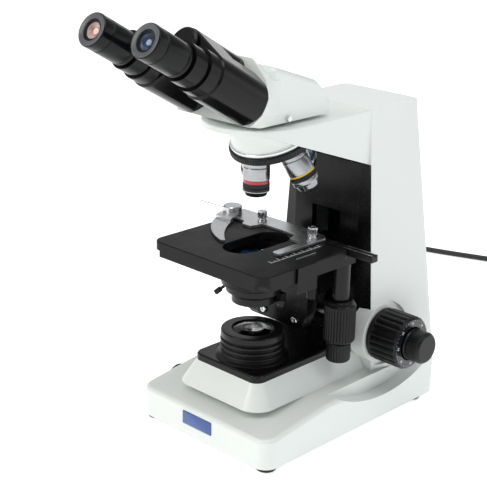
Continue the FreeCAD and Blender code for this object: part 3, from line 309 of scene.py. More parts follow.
def finish(name, colour, shade=None, metallic=0.0, roughness=0.4, spread=0.06, grain=(1.0, 1.0, 1.0),
           depth=0.006, worn=0.05, smudge=22.0, map_name="Object", **settings):
    """One surface material.

    grain is the size of the fine relief in mm along each coordinate and depth its height in mm. Broad soft
    patches, smudge mm across, change the roughness by worn, as handling and dust do, and lead the colour
    towards shade."""
    material = bpy.data.materials.get(name)
    if material:
        return material
    material = bpy.data.materials.new(name)
    material.use_nodes = True
    tree = material.node_tree
    tree.nodes.clear()
    place = add(tree, "ShaderNodeTexCoord")
    fine = add(tree, "ShaderNodeMapping", [("Vector", place.outputs[map_name])],
               Scale=[1 / (MM * size) for size in grain])
    broad = add(tree, "ShaderNodeMapping", [("Vector", place.outputs["Object"])],
                Scale=[1 / (MM * smudge)] * 3)
    relief = add(tree, "ShaderNodeTexNoise", [("Vector", fine.outputs[0])],
                 Scale=1.0, Detail=3.0, Roughness=0.6)
    patch = add(tree, "ShaderNodeTexNoise", [("Vector", broad.outputs[0])],
                Scale=1.0, Detail=4.0, Roughness=0.65)
    small = add(tree, "ShaderNodeMapRange", [("Value", relief.outputs[0])],
                From_Min=0.3, From_Max=0.7, To_Min=roughness - spread, To_Max=roughness + spread)
    large = add(tree, "ShaderNodeMapRange", [("Value", patch.outputs[0])],
                From_Min=0.35, From_Max=0.65, To_Min=-worn, To_Max=worn)
    rough = add(tree, "ShaderNodeMath", [(0, small.outputs[0]), (1, large.outputs[0])],
                operation="ADD", use_clamp=True)
    tint = add(tree, "ShaderNodeMapRange", [("Value", patch.outputs[0])], From_Min=0.4, From_Max=0.75)
    mix = add(tree, "ShaderNodeMix", [(0, tint.outputs[0])], data_type="RGBA")
    mix.inputs[6].default_value = linear(colour)
    mix.inputs[7].default_value = linear(shade or colour)
    bump = add(tree, "ShaderNodeBump", [("Height", relief.outputs[0])], Strength=1.0, Distance=depth * MM)
    shader = add(tree, "ShaderNodeBsdfPrincipled", [
        ("Base Color", mix.outputs[2]), ("Roughness", rough.outputs[0]), ("Normal", bump.outputs[0])
    ], Metallic=metallic, **settings)
    add(tree, "ShaderNodeOutputMaterial", [("Surface", shader.outputs[0])])
    return material


def enamel():
    # White enamel, sprayed and baked on cast aluminium: a soft sheen, and orange peel about 1.6 mm wide.
    colour = bpy.context.scene.scope_colours.enamel
    return finish("White enamel, sprayed", colour, colour, roughness=0.36, grain=(1.6, 1.6, 1.6), depth=0.008,
                  worn=0.02, spread=0.03, Coat_Weight=0.25, Coat_Roughness=0.22)


def white_abs():
    # Moulded ABS, spark-eroded: a fine even grain of about 0.6 mm that makes the highlights broad.
    colour = bpy.context.scene.scope_colours.cover
    return finish("White ABS, moulded", colour, colour, roughness=0.44, grain=(0.6, 0.6, 0.6), depth=0.006,
                  worn=0.02, spread=0.03)


def black_enamel():
    # Black enamel on cast aluminium, sprayed: deep black with broad soft highlights.
    return finish("Black enamel, sprayed", bpy.context.scene.scope_colours.black, "#101012", roughness=0.26,
                  grain=(1.4, 1.4, 1.4), depth=0.003, spread=0.03, worn=0.02, Specular_IOR_Level=0.22)


def head_gloss():
    # Black stoving enamel, flatted and polished: sharp highlights along the backs of the binocular halves.
    return finish("Black stoving enamel, polished", "#0A0A0B", "#0D0D0F", roughness=0.16,
                  grain=(2.2, 2.2, 2.2), depth=0.002, spread=0.02, worn=0.02, Specular_IOR_Level=0.22)


def black_anodised():
    # Aluminium, bead-blasted and black anodised: a fine matt grain with a grey sheen.
    return finish("Black anodised aluminium, bead-blasted", "#0F0F11", "#131315", roughness=0.32,
                  grain=(0.35, 0.35, 0.35), depth=0.004, worn=0.04, Specular_IOR_Level=0.28)


def stage_coat():
    # Hard matt coating baked on the stage, rubbed slightly brighter in broad patches.
    return finish("Black stage coating, baked", "#070708", "#0B0B0D", roughness=0.46, grain=(0.4, 0.4, 0.4),
                  depth=0.004, worn=0.04, smudge=30.0, Specular_IOR_Level=0.22)


def knob_abs():
    # Moulded black ABS: a satin that hands have polished in patches.
    return finish("Black ABS, moulded", "#0E0E10", "#131315", roughness=0.32, grain=(0.5, 0.5, 0.5),
                  depth=0.004, worn=0.05, smudge=12.0, Specular_IOR_Level=0.26)


def eyepiece_black():
    # Anodised eyepiece barrel, turned: fine rings round it that draw the light out.
    return finish("Black anodised aluminium, turned", "#0B0C0E", "#0F1012", roughness=0.22,
                  grain=(40.0, 0.3, 1.0), depth=0.003, map_name="UV", Specular_IOR_Level=0.22)


def eyepiece_face_grey_and_highlight():
    # The turned face round the eye lens, anodised dark grey and lighter than the barrel: the grey is partly
    # the ring's own colour and partly a painted highlight.
    return finish("Grey anodised aluminium with painted highlight, turned", "#4A4C50", "#5A5C60", roughness=0.34,
                  grain=(40.0, 0.3, 1.0), depth=0.003, map_name="UV")


def chromed_brass():
    # Brass, turned and satin chromed: rings about 0.25 mm apart that stretch the highlights round the barrel.
    return finish("Chromed brass, turned", "#A9ABAE", "#96989B", metallic=1.0, roughness=0.20, spread=0.05,
                  grain=(60.0, 0.25, 1.0), depth=0.003, map_name="UV")


def black_chrome():
    # Black-chromed brass, knurled: dark grey metal that catches thin lights on its ridges.
    return finish("Black chromed brass, knurled", "#2A2B2E", "#1E1F21", metallic=0.7, roughness=0.30,
                  spread=0.06, grain=(0.4, 0.4, 0.4), depth=0.002)


def polished_chrome():
    # Polished chrome: nearly a mirror, with faint handling marks.
    return finish("Chrome, polished", "#DADCDE", "#CFD1D4", metallic=1.0, roughness=0.12, spread=0.03,
                  depth=0.001)


def satin_steel():
    # Stainless steel, brushed: short scratches along the bar.
    return finish("Stainless steel, brushed", "#CDCED0", "#BDBEC0", metallic=1.0, roughness=0.32, spread=0.09,
                  grain=(9.0, 0.3, 0.3), depth=0.003)


def ground_steel():
    # Ground steel, oiled: darker than chrome, with lines across its length.
    return finish("Steel, ground", "#8F9194", "#7C7E82", metallic=1.0, roughness=0.34, spread=0.08,
                  grain=(0.3, 6.0, 0.3), depth=0.003)


def cast_aluminium():
    # Aluminium as cast: a coarse dull skin.
    return finish("Aluminium, as cast", "#8B8C8E", "#737477", metallic=0.9, roughness=0.55,
                  grain=(1.4, 1.4, 1.4), depth=0.03)


def rubber():
    # Moulded rubber: flat and dusty.
    return finish("Rubber, moulded", "#101010", "#1D1C1B", roughness=0.72, grain=(0.5, 0.5, 0.5), depth=0.012)


def pvc():
    # Extruded PVC sheath: smooth, with a long slow waviness.
    return finish("PVC, extruded", "#0E0E0F", "#171718", roughness=0.42, grain=(5.0, 5.0, 5.0), depth=0.02)


def lacquer(name, colour):
    # Coloured lacquer in a turned groove: glossy and even.
    return finish("Lacquer, %s" % name, colour, roughness=0.25, grain=(1.0, 1.0, 1.0), depth=0.002,
                  Coat_Weight=0.4)


def ink():
    # Silk-screened white ink: thin and slightly rough.
    return finish("White ink, screen printed", "#D9DAD6", "#C4C5C2", roughness=0.55,
                  grain=(0.3, 0.3, 0.3), depth=0.004)


def blue_acrylic():
    # Blue acrylic plate, moulded and glossy.
    colour = bpy.context.scene.scope_colours.badge
    return finish("Blue acrylic, moulded", colour, colour, roughness=0.16, grain=(3.0, 3.0, 3.0), depth=0.002,
                  Coat_Weight=0.5, Coat_Roughness=0.05)


def lens_painted_shade_and_reflection(name, colour, sheen):
    # Lens without transmission, painted light: its colour is painted in place of what the glass shows, the
    # shaded inside of the tube and the coating's coloured reflection. The second colour tints the real
    # specular reflection and, in broad patches, is also a painted reflection.
    return finish("Optical glass with painted light, %s" % name, colour, sheen, roughness=0.05, spread=0.01, worn=0.01,
                  smudge=9.0, depth=0.0002, Coat_Weight=1.0, Coat_Roughness=0.02, IOR=1.7,
                  Specular_Tint=linear(sheen))


def dark_blue_lens_painted_shade():
    # Painted shade: a near black blue for the dark inside of the tube, with patches of a lighter painted blue
    # reflection.
    return lens_painted_shade_and_reflection("blue", "#0C1420", "#3C5C88")


def rose_lens_painted_reflection():
    # Painted reflection: a mid pink standing for the coating's reflection, with patches of a paler painted
    # pink.
    return lens_painted_shade_and_reflection("rose", "#8A6660", "#E0C4BE")


def clear_glass():
    # Clear glass, ground and polished: it shows what lies under it, with a bright edge.
    return finish("Clear glass, polished", "#FFFFFF", "#F4F8FA", roughness=0.02, spread=0.005, worn=0.01,
                  depth=0.0005, IOR=1.52, Transmission_Weight=1.0)


def reflector():
    # Vacuum-metallised reflector: a bright faceted mirror.
    return finish("Aluminium, vacuum-metallised", "#F2F4F6", "#E4E6E8", metallic=0.75, roughness=0.30,
                  spread=0.03, depth=0.001)


def led_phosphor():
    # The diode's phosphor under silicone: a pale yellow, unlit.
    return finish("Phosphor, potted", "#E6DC9C", "#D9CD84", roughness=0.35, depth=0.004)


def bench_laminate():
    # White laminate, pressed: even and nearly matt, with a glow of its own that keeps the bench white.
    return finish("Bench top, white laminate", "#F4F5F5", "#F1F2F2", roughness=0.6, depth=0.001,
                  Emission_Color=linear("#FFFFFF"), Emission_Strength=0.58)


# ---------------------------------------------------------------- settings

def angle_of(name, description, degrees):
    return bpy.props.FloatProperty(
        name=name, description=description, default=math.radians(degrees), subtype="ANGLE")


def count_of(name, description, default):
    return bpy.props.IntProperty(name=name, description=description, default=default, min=3)


def length_of(name, description, metres):
    return bpy.props.FloatProperty(name=name, description=description, default=metres, unit="LENGTH")


def colour_of(name, description, shade):
    return bpy.props.FloatVectorProperty(
        name=name, description=description, default=linear(shade)[:3], subtype="COLOR", min=0.0, max=1.0)


class ScopeStage(bpy.types.PropertyGroup):
    """The view of the instrument and the light on it."""
    azimuth: angle_of("Azimuth", "Camera's turn from the user's side", 44.0)
    elevation: angle_of("Elevation", "Camera's angle above the bench", 19.24)
    roll: angle_of("Roll", "Camera's tilt about its own line", 1.23)
    distance: length_of("Distance", "Camera to target", 1.09851)
    target: bpy.props.FloatVectorProperty(
        name="Target", description="Point that the camera looks at", default=(-0.01042, -0.00328, 0.1711),
        subtype="XYZ", unit="LENGTH")
    focal: bpy.props.FloatProperty(
        name="Focal length", description="Lens, on a 36 mm sensor", default=92.3, unit="CAMERA")
    light: bpy.props.FloatProperty(
        name="Light", description="Brightness of all the soft lights together", default=1.0,
        subtype="FACTOR", min=0.0, soft_max=2.0)


class ScopeSizes(bpy.types.PropertyGroup):
    """Sizes and counts that change the instrument's looks."""
    coarse_grooves: count_of("Coarse grooves", "Grip grooves round a coarse knob", 24)
    drive_grooves: count_of("Drive grooves", "Grip grooves round a stage knob", 30)
    dial_ticks: count_of("Dial ticks", "Marks round the focusing dial", 40)
    turret_grooves: count_of("Turret grooves", "Grip grooves round the nosepiece", 90)
    cord_length: length_of("Cord length", "Mains cord along its centre", 1.7)
    cord_diameter: length_of("Cord diameter", "Across the sheath", 0.0064)


class ScopeColours(bpy.types.PropertyGroup):
    """Colours of the painted and moulded pieces."""
    enamel: colour_of("Enamel", "Paint on the base, the carrier arm and the head", "#E2E7E4")
    cover: colour_of("Cover", "Plastic of the arm's shell", "#E4E8E6")
    black: colour_of("Black", "Paint on the column panel and the slides", "#0C0C0E")
    badge: colour_of("Badge", "Plate on the front of the base", "#0E4490")
    dial: colour_of("Dial", "Ring behind the focusing marks", "#10151F")


# ---------------------------------------------------------------- cord

ROUTE = [
    (-45, 204, 20), (-45, 232, 20), (-52, 272, 6), (-70, 318, 3.4), (-112, 366, 3.4), (-172, 402, 3.4),
    (-214, 448, 3.4), (-206, 492, 3.4), (-160, 505, 3.4), (-98, 529, 3.4), (-58, 545, 3.4),
]
COIL_CENTRE = np.array((-20.0, 588.0))
COIL_END = [(-22, 557.8, 17.0), (-11, 560.5, 19.6), (-5, 567.5, 22.6), (-2.7, 575.5, 25.2), (-2.5, 583, 25.6)]
SPLINE_SHRINK = 0.981       # radius of the spline through a ring of points, over the ring's


def coil_points():
    """The coil's control points: a helix in two lanes and three layers.

    The turn runs on evenly. The radius and the height move by one cord diameter over 40 degrees at a time,
    each before the lane that it leaves is met again. Points are set out by the spline's shrink."""
    turn = np.radians(np.arange(-90, 1691, 22.5))
    degrees = np.degrees(turn)
    knots = [210, 250, 850, 890, 1490, 1530]
    radius = np.interp(degrees, knots, [38.3, 31.7, 31.7, 38.3, 38.3, 31.7])
    height = np.interp(degrees, [530, 570, 1170, 1210], [3.4, 9.9, 9.9, 16.4])
    reach = radius / SPLINE_SHRINK
    x, y = COIL_CENTRE[0] + reach * np.cos(turn), COIL_CENTRE[1] + reach * np.sin(turn)
    return np.column_stack([x, y, height])


class OBJECT_OT_scope_cord(bpy.types.Operator):
    """Lays the mains cord from the inlet along the bench to its coil and plug."""
    bl_idname = "object.scope_cord"
    bl_label = "Mains cord"

    def execute(self, context):
        sizes = context.scene.scope_sizes
        points = np.concatenate([np.array(ROUTE, float), coil_points(), np.array(COIL_END)]) * MM
        curve = bpy.data.curves.new("cord_line", "CURVE")
        curve.dimensions = "3D"
        curve.bevel_depth = sizes.cord_diameter / 2
        curve.bevel_resolution = 6
        curve.use_fill_caps = True
        spline = curve.splines.new("NURBS")
        spline.points.add(len(points) - 1)
        spline.points.foreach_set("co", np.column_stack([points, np.ones(len(points))]).ravel())
        spline.order_u = 3
        spline.use_endpoint_u = True
        spline.resolution_u = 6
        cord = bpy.data.objects.new("mains_cord", curve)
        cord.data.materials.append(pvc())
        context.scene.collection.objects.link(cord)
        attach(cord, "stand")
        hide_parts("cord_tube", "cord_coil")
        connector = dress("cord_connector", knob_abs(), 1.0)
        plug = dress("cord_plug", knob_abs(), 0.5)
        return {"FINISHED"}


# ---------------------------------------------------------------- stage of the picture

class OBJECT_OT_scope_stage(bpy.types.Operator):
    """Sets the floor, the soft lights and the camera."""
    bl_idname = "object.scope_stage"
    bl_label = "Floor, lights and camera"

    def execute(self, context):
        view = context.scene.scope_stage
        azimuth, elevation, roll = view.azimuth, view.elevation, view.roll
        back = np.array((math.cos(elevation) * math.sin(azimuth), -math.cos(elevation) * math.cos(azimuth),
                         math.sin(elevation)))
        right = unit(np.cross(-back, (0, 0, 1)))
        up = np.cross(right, -back)
        level = math.cos(roll) * right + math.sin(roll) * up
        rise = -math.sin(roll) * right + math.cos(roll) * up
        camera = bpy.data.objects.new("camera", bpy.data.cameras.new("camera"))
        camera.data.lens = view.focal
        camera.data.sensor_width = 36
        camera.data.clip_end = 20
        place = np.eye(4)
        place[:3, 0], place[:3, 1], place[:3, 2] = level, rise, back
        place[:3, 3] = np.array(view.target) + back * view.distance
        camera.matrix_world = Matrix(place.tolist())
        context.scene.collection.objects.link(camera)
        context.scene.camera = camera

        a = np.linspace(0, 2 * np.pi, 96, endpoint=False)
        ring = np.column_stack([np.cos(a), np.sin(a), np.zeros(96)])
        rows = np.array([ring * 0.001, ring * 0.5, ring * 2, ring * 9])
        rows[:, :, 2] = -0.0002
        floor_mesh = bpy.data.meshes.new("floor")
        faces = [[i * 96 + j, (i + 1) * 96 + j, (i + 1) * 96 + (j + 1) % 96, i * 96 + (j + 1) % 96]
                 for i in range(3) for j in range(96)]
        floor_mesh.from_pydata(rows.reshape(-1, 3).tolist(), [], faces)
        floor_mesh.materials.append(bench_laminate())
        floor = bpy.data.objects.new("floor", floor_mesh)
        context.scene.collection.objects.link(floor)

        # (turn and height of the light in degrees, distance m, size m, watts, colour)
        lamps = [
            (112, 42, 2.2, 0.9, 5.5, "#F6FAFF"),
            (-24, 36, 2.2, 1.0, 15, "#FFFBF4"),
            (20, 78, 2.0, 1.2, 11, "#FFFFFF"),
            (216, 32, 2.6, 1.4, 4, "#FFFFFF"),
        ]
        for number, (turn, height, away, size, watts, colour) in enumerate(lamps, 1):
            light = bpy.data.lights.new("softbox_%d" % number, "AREA")
            light.shape = "DISK"
            light.size = size
            light.energy = watts * view.light
            light.color = linear(colour)[:3]
            lamp = bpy.data.objects.new("softbox_%d" % number, light)
            t, h = math.radians(turn), math.radians(height)
            spot = Vector((math.cos(h) * math.sin(t), -math.cos(h) * math.cos(t), math.sin(h))) * away
            lamp.location = spot + Vector((0, 0, 0.15))
            lamp.rotation_euler = spot.to_track_quat("Z", "Y").to_euler()
            context.scene.collection.objects.link(lamp)
        world = bpy.data.worlds.new("studio")
        world.use_nodes = True
        sky = world.node_tree
        direction = add(sky, "ShaderNodeTexCoord")
        height = add(sky, "ShaderNodeSeparateXYZ", [("Vector", direction.outputs["Generated"])])
        # White at the bench's far edge, dark above it to give gloss and chrome an edge, light overhead.
        haze = add(sky, "ShaderNodeMapRange", [("Value", height.outputs["Z"])],
                   interpolation_type="SMOOTHSTEP", From_Min=0.12, From_Max=0.26, To_Min=1.0, To_Max=0.18)
        zenith = add(sky, "ShaderNodeMapRange", [("Value", height.outputs["Z"])],
                     interpolation_type="SMOOTHSTEP", From_Min=0.2, From_Max=0.8, To_Min=0.0, To_Max=0.4)
        shade = add(sky, "ShaderNodeMath", [(0, haze.outputs[0]), (1, zenith.outputs[0])], operation="ADD")
        backdrop = sky.nodes["Background"]
        backdrop.inputs["Color"].default_value = linear("#FBFCFC")
        sky.links.new(shade.outputs[0], backdrop.inputs["Strength"])
        context.scene.world = world
        context.scene.view_settings.view_transform = "Standard"
        return {"FINISHED"}


# ---------------------------------------------------------------- stand

class OBJECT_OT_scope_stand(bpy.types.Operator):
    """Dresses the base, the arm, the column and the fixed head parts."""
    bl_idname = "object.scope_stand"
    bl_label = "Base and arm"

    def execute(self, context):
        dress("base_casting", enamel(), 0.5)
        dress("base_floor", ground_steel())
        dress("deck_plate", black_enamel(), 0.4)
        dress("arm_cover", white_abs(), 0.6)
        dress("column_panel", black_enamel(), 0.3)
        dress("column_frame", cast_aluminium(), 0.5)
        dress("arm_carrier", enamel(), 0.4)
        dress("nosepiece_mount", enamel(), 0.3)
        dress("head_dovetail", ground_steel(), 0.3)
        dress("power_inlet", knob_abs(), 0.3)
        dress("power_switch", knob_abs(), 0.3)
        dress("led_module", cast_aluminium(), 0.3)
        for number in range(1, 5):
            foot = "foot_%d" % number
            x, y, _ = middle(foot)
            r, top = (high(foot) - low(foot))[0] / 2, high(foot)[2]
            profile = softened([
                (0, 0.6), (r - 3, 0.6), (r - 2.4, 0), (r - 0.8, 0), (r, 1.2), (r, top), (0, top)
            ], 0.4)
            pad = turned(profile, (x, y, 0), count=48)
            build("foot_pad_%d" % number, "stand", [(pad, rubber())], [foot])
        corner = low("badge")
        wide, _, tall = high("badge") - corner
        outline = rounded([(0, 0), (wide, 0), (wide, tall), (0, tall)], [0.8] * 4)

        back = high("badge")[1]

        def stand_up(grid):
            return np.stack([corner[0] + grid[..., 0], back - grid[..., 2], corner[2] + grid[..., 1]], -1)

        badge = plate(outline, 0, back - corner[1], 0.3, place=stand_up)
        build("badge_plate", "stand", [(badge, blue_acrylic())], ["badge"])
        return {"FINISHED"}


class OBJECT_OT_scope_lamp(bpy.types.Operator):
    """Turns the illuminator: a ribbed tower, a domed lens, and the faceted reflector under it."""
    bl_idname = "object.scope_lamp"
    bl_label = "Illuminator"

    def execute(self, context):
        foot, top = low("lamp_housing")[2], high("lamp_housing")[2]
        flare = high("lamp_housing")[0]
        r = flare - 4
        lens_r = high("field_lens")[0]
        groove = 2.0
        line = [(19, foot), (flare, foot), (flare, foot + 0.8), (r + 0.6, foot + 2.4), (r, foot + 3)]
        first, last, count = foot + 3.2, top - 6.0, 3
        pitch = (last - first) / count
        for i in range(count):
            z = first + pitch * i
            line += [(r - 0.3, z), (r, z + pitch * 0.2), (r, z + pitch * 0.45)]
            line += [(r - groove, z + pitch * 0.68), (r - groove, z + pitch * 0.8)]
        line += [(r - 0.4, last), (r - 0.6, top - 0.9), (r - 1.5, top), (lens_r + 1.6, top)]
        line += [(lens_r + 0.1, top - 1.6), (lens_r + 0.1, top - 5), (19, top - 5)]
        housing = turned(softened(line, 0.45), count=128)
        build("lamp_tower", "stand", [(housing, black_anodised())], ["lamp_housing"])
        t = np.linspace(0, 1, 14)
        crown = high("field_lens")[2]
        dome = np.column_stack([lens_r * (1 - t), crown - 3.6 * (1 - t) ** 2])
        under = [(0, crown - 4.6), (lens_r, crown - 4.6)]
        lens = turned(np.concatenate([under, dome]), count=96)
        build("lamp_lens", "stand", [(lens, clear_glass())], ["field_lens"])
        bowl = crown - 10.5
        deep = [(0, bowl), (5, bowl), (6, bowl + 0.8), (lens_r - 5, bowl + 3.2), (lens_r - 1, bowl + 5.6),
                (lens_r - 0.2, bowl + 5.6), (lens_r - 0.2, bowl - 1), (0, bowl - 1)]
        mirror = turned(deep, count=14)
        build("lamp_reflector", "stand", [(mirror, reflector())], sharp=8)
        drop = softened([
            (0, bowl + 0.1), (3.4, bowl + 0.1), (3.4, bowl + 1), (2.4, bowl + 2.2), (0, bowl + 2.6)
        ], 0.4)
        diode = turned(drop, count=32)
        build("lamp_diode", "stand", [(diode, led_phosphor())])
        return {"FINISHED"}


class OBJECT_OT_scope_knobs(bpy.types.Operator):
    """Turns the coarse and fine focusing knobs with their grip grooves, and the dial's marks."""
    bl_idname = "object.scope_knobs"
    bl_label = "Focusing knobs"

    def execute(self, context):
        sizes = context.scene.scope_sizes
        for name, side in (("right", 1), ("left", -1)):
            node, fine = "coarse_knob_" + name, "fine_knob_" + name
            inner = min(abs(low(node)[0]), abs(high(node)[0]))
            length = (high(node) - low(node))[0]
            r = (high(node) - low(node))[2] / 2
            origin, axis = (side * inner, FOCUS_AXIS[1], FOCUS_AXIS[2]), (side, 0, 0)
            line = softened([
                (6, 0), (r - 1.6, 0), (r - 0.5, 1.0), (r - 0.5, 3.2), (r - 1.2, 3.8), (r - 0.2, 4.6),
                (r, 5.6), (r, length - 2.4), (r - 2.0, length), (15.8, length), (15.5, length - 0.6),
                (15.5, length - 4), (3.2, length - 4)
            ], 0.5)
            grip = ribs(sizes.coarse_grooves, 1.1, 5.0, length - 1.6, r - 1.5, 2.5, 1.2)
            shells = [(turned(divided(line, 2.0), origin, axis, 288, grip), knob_abs())]
            ring = [(16.2, length - 0.2), (16.2, length + 0.03)]
            ring += [(r - 2.2, length + 0.03), (r - 2.2, length - 0.2)]
            dial = lacquer("blue black", context.scene.scope_colours.dial)
            shells.append((turned(ring, origin, axis, 144), dial))
            build("coarse_grip_" + name, "coarse_drive", shells, [node])
            a = np.arange(sizes.dial_ticks) * 2 * np.pi / sizes.dial_ticks
            level, other = across(axis)
            spoke = np.cos(a)[:, None] * level + np.sin(a)[:, None] * other
            start = np.array(origin) + np.array(axis) * (length + 0.02)
            near, far = start + spoke * (r - 3.4), start + spoke * (r - 2.4)
            marks = [(bar, ink()) for bar in bars(near, far, axis, 0.3, 0.05)]
            # Every fifth mark has a label: two short strokes side by side, where figures would stand.
            for shift in (-0.8, 0.8):
                top = start + spoke[::5] * (r - 4.3) + np.cross(axis, spoke[::5]) * shift
                marks += [(bar, ink()) for bar in bars(top - spoke[::5] * 2.3, top, axis, 0.95, 0.05)]
            build("dial_marks_" + name, "coarse_drive", marks)

            begin = inner + length + 0.4
            reach = max(abs(low(fine)[0]), abs(high(fine)[0])) - begin
            line = softened([
                (3, 0), (14.6, 0), (14.9, 0.4), (14.6, 1.6), (14.3, 2.2), (14.3, 3.4), (14.8, 4.2),
                (14.8, reach - 2.4), (12.8, reach), (0, reach)
            ], 0.6)
            grip = ribs(40, 0.25, 5.2, reach - 0.8, 13.6, 2.0, 1.0)
            origin = (side * begin, FOCUS_AXIS[1], FOCUS_AXIS[2])
            knob = turned(divided(line, 1.5), origin, axis, 256, grip)
            build("fine_grip_" + name, "fine_drive", [(knob, knob_abs())], [fine])
        dress("focus_shaft", ground_steel(), 0)
        x, y, z = middle("brightness_knob")
        r = (high("brightness_knob") - low("brightness_knob"))[2] / 2
        inner, outer = -high("base_casting")[0] - 0.4, low("brightness_knob")[0]
        length = inner - outer
        line = softened([
            (0, 0), (r - 0.6, 0), (r, 0.8), (r, length - 1.6), (r - 1.6, length), (r - 3.4, length),
            (r - 4, length - 0.5), (0, length - 0.5)
        ], 0.5)
        grip = ribs(24, 0.7, 0.8, length - 0.8, r - 1.5, 2)
        wheel = turned(divided(line, 1.5), (inner, y, z), (-1, 0, 0), 180, grip)
        build("brightness_wheel", "dial", [(wheel, knob_abs())], ["brightness_knob"])
        return {"FINISHED"}


# ---------------------------------------------------------------- stage and condenser

STAGE_RISE = 8.4            # the stage's upper face over the lower plate
Y_GRIP_TOP = 123.6          # top ends of the two grips on the drive tube
X_GRIP_TOP = 83.6
SCALE_INSET = 7.8           # from the vernier's outer face to the scale's line


class OBJECT_OT_scope_table(bpy.types.Operator):
    """Dresses the mechanical stage, its scales, slide holder and drive knobs."""
    bl_idname = "object.scope_table"
    bl_label = "Mechanical stage"

    def execute(self, context):
        sizes = context.scene.scope_sizes
        dress("stage_top_plate", stage_coat(), 0.4)
        dress("stage_lower_plate", stage_coat(), 0.4)
        dress("focus_slide", black_enamel(), 0.4)
        dress("fine_slide", ground_steel(), 0.3)
        dress("holder_rail", black_anodised(), 0.3)
        end, deck = high("holder_rail")[0] - 0.6, high("holder_rail")[2]
        fore, aft = low("holder_rail")[1] + 1.2, high("holder_rail")[1] - 1.2
        starts, ends = [(60, fore, deck), (60, aft, deck)], [(end, fore, deck), (end, aft, deck)]
        strips = bars(starts, ends, UP, 1.2, 0.06)
        build("rail_lands", "slide_holder", [(bar, satin_steel()) for bar in strips])
        dress("holder_plate", satin_steel(), 0.3)
        dress("holder_claw", satin_steel(), 0.3)
        dress("drive_housing", black_anodised(), 0.4)
        top = high("stage_lower_plate")[2] + STAGE_RISE
        edge = high("stage_top_plate")[0]
        x = edge - SCALE_INSET
        y = np.linspace(-42, 18, 13)
        starts = np.column_stack([np.full(13, x), y, np.full(13, top)])
        ends = starts - np.where(np.arange(13) % 2 == 0, 4.2, 2.4)[:, None] * np.array((1.0, 0, 0))
        lines = bars(starts, ends, UP, 0.6, 0.05) + bars([(x, -43, top)], [(x, 19, top)], UP, 0.5, 0.05)
        y = np.linspace(-19, 3, 10)
        starts = np.column_stack([np.full(10, edge - 1.3), y, np.full(10, top - 0.4)])
        lines += bars(starts, starts + np.array((1.2, 0, 0)), UP, 0.7, 0.05)
        build("stage_scale", "stage", [(bar, ink()) for bar in lines])

        drive = middle("y_knob")
        floor, ceiling = low("y_knob")[2], Y_GRIP_TOP
        r = (high("y_knob") - low("y_knob"))[0] / 2
        tall = ceiling - floor
        line = softened([
            (2, 0), (r - 1.6, 0), (r - 0.2, 1.6), (r, 2.6), (r, tall - 5), (r - 1.4, tall - 3.6),
            (r - 2.4, tall - 1), (r - 3.6, tall), (3.5, tall)
        ], 0.6)
        grip = ribs(sizes.drive_grooves, 0.8, 2.0, tall - 4.6, r - 1.4, 2.2, 1.0)
        place = (drive[0], drive[1], floor)
        end = high("y_knob")[2] - floor
        stem = turned([(1.9, tall - 1), (3.5, tall - 1), (3.5, end), (1.9, end)], place)
        knob = turned(divided(line, 2.0), place, UP, 240, grip)
        build("y_grip", "y_drive", [(knob, knob_abs()), (stem, ground_steel())], ["y_knob"])
        floor, ceiling = low("x_knob")[2], X_GRIP_TOP
        r = (high("x_knob") - low("x_knob"))[0] / 2
        tall = ceiling - floor
        line = softened([
            (0, 0.4), (r - 3.2, 0.4), (r - 2.6, 0), (r - 1.4, 0), (r, 1.4), (r, tall - 1.6),
            (r - 1.4, tall), (0, tall)
        ], 0.6)
        place = (drive[0], drive[1], floor)
        grip = ribs(24, 0.5, 1.4, tall - 1.4, r - 1.2, 2.0, 1.0)
        end = high("x_knob")[2] - floor
        stem = turned([(0, tall - 1), (1.75, tall - 1), (1.75, end), (0, end)], place)
        knob = turned(divided(line, 2.0), place, UP, 192, grip)
        build("x_grip", "x_drive", [(knob, knob_abs()), (stem, ground_steel())], ["x_knob"])
        for number in (1, 2):
            node = "holder_screw_%d" % number
            x, y, _ = middle(node)
            z0, z1 = low(node)[2], high(node)[2]
            line = softened([
                (0, z0), (4.2, z0), (4.2, z0 + 1.4), (3.1, z0 + 2.1), (3.1, z0 + 3), (4.3, z0 + 3.5),
                (4.4, z1 - 0.8), (3.7, z1), (2.2, z1), (2, z1 - 0.3), (0, z1 - 0.3)
            ], 0.25)
            grip = ribs(36, 0.3, z0 + 3.4, z1 - 0.4, 3.9, 1.0, 0.3)
            screw = turned(divided(line, 1.2), (x, y, 0), UP, 180, grip)
            build("clamp_screw_%d" % number, "slide_holder", [(screw, polished_chrome())], [node])
        return {"FINISHED"}


SHIELD_FRONT, SHIELD_SCREW_X, SHIELD_SCREW_Z = 35.0, 19.0, 97.0


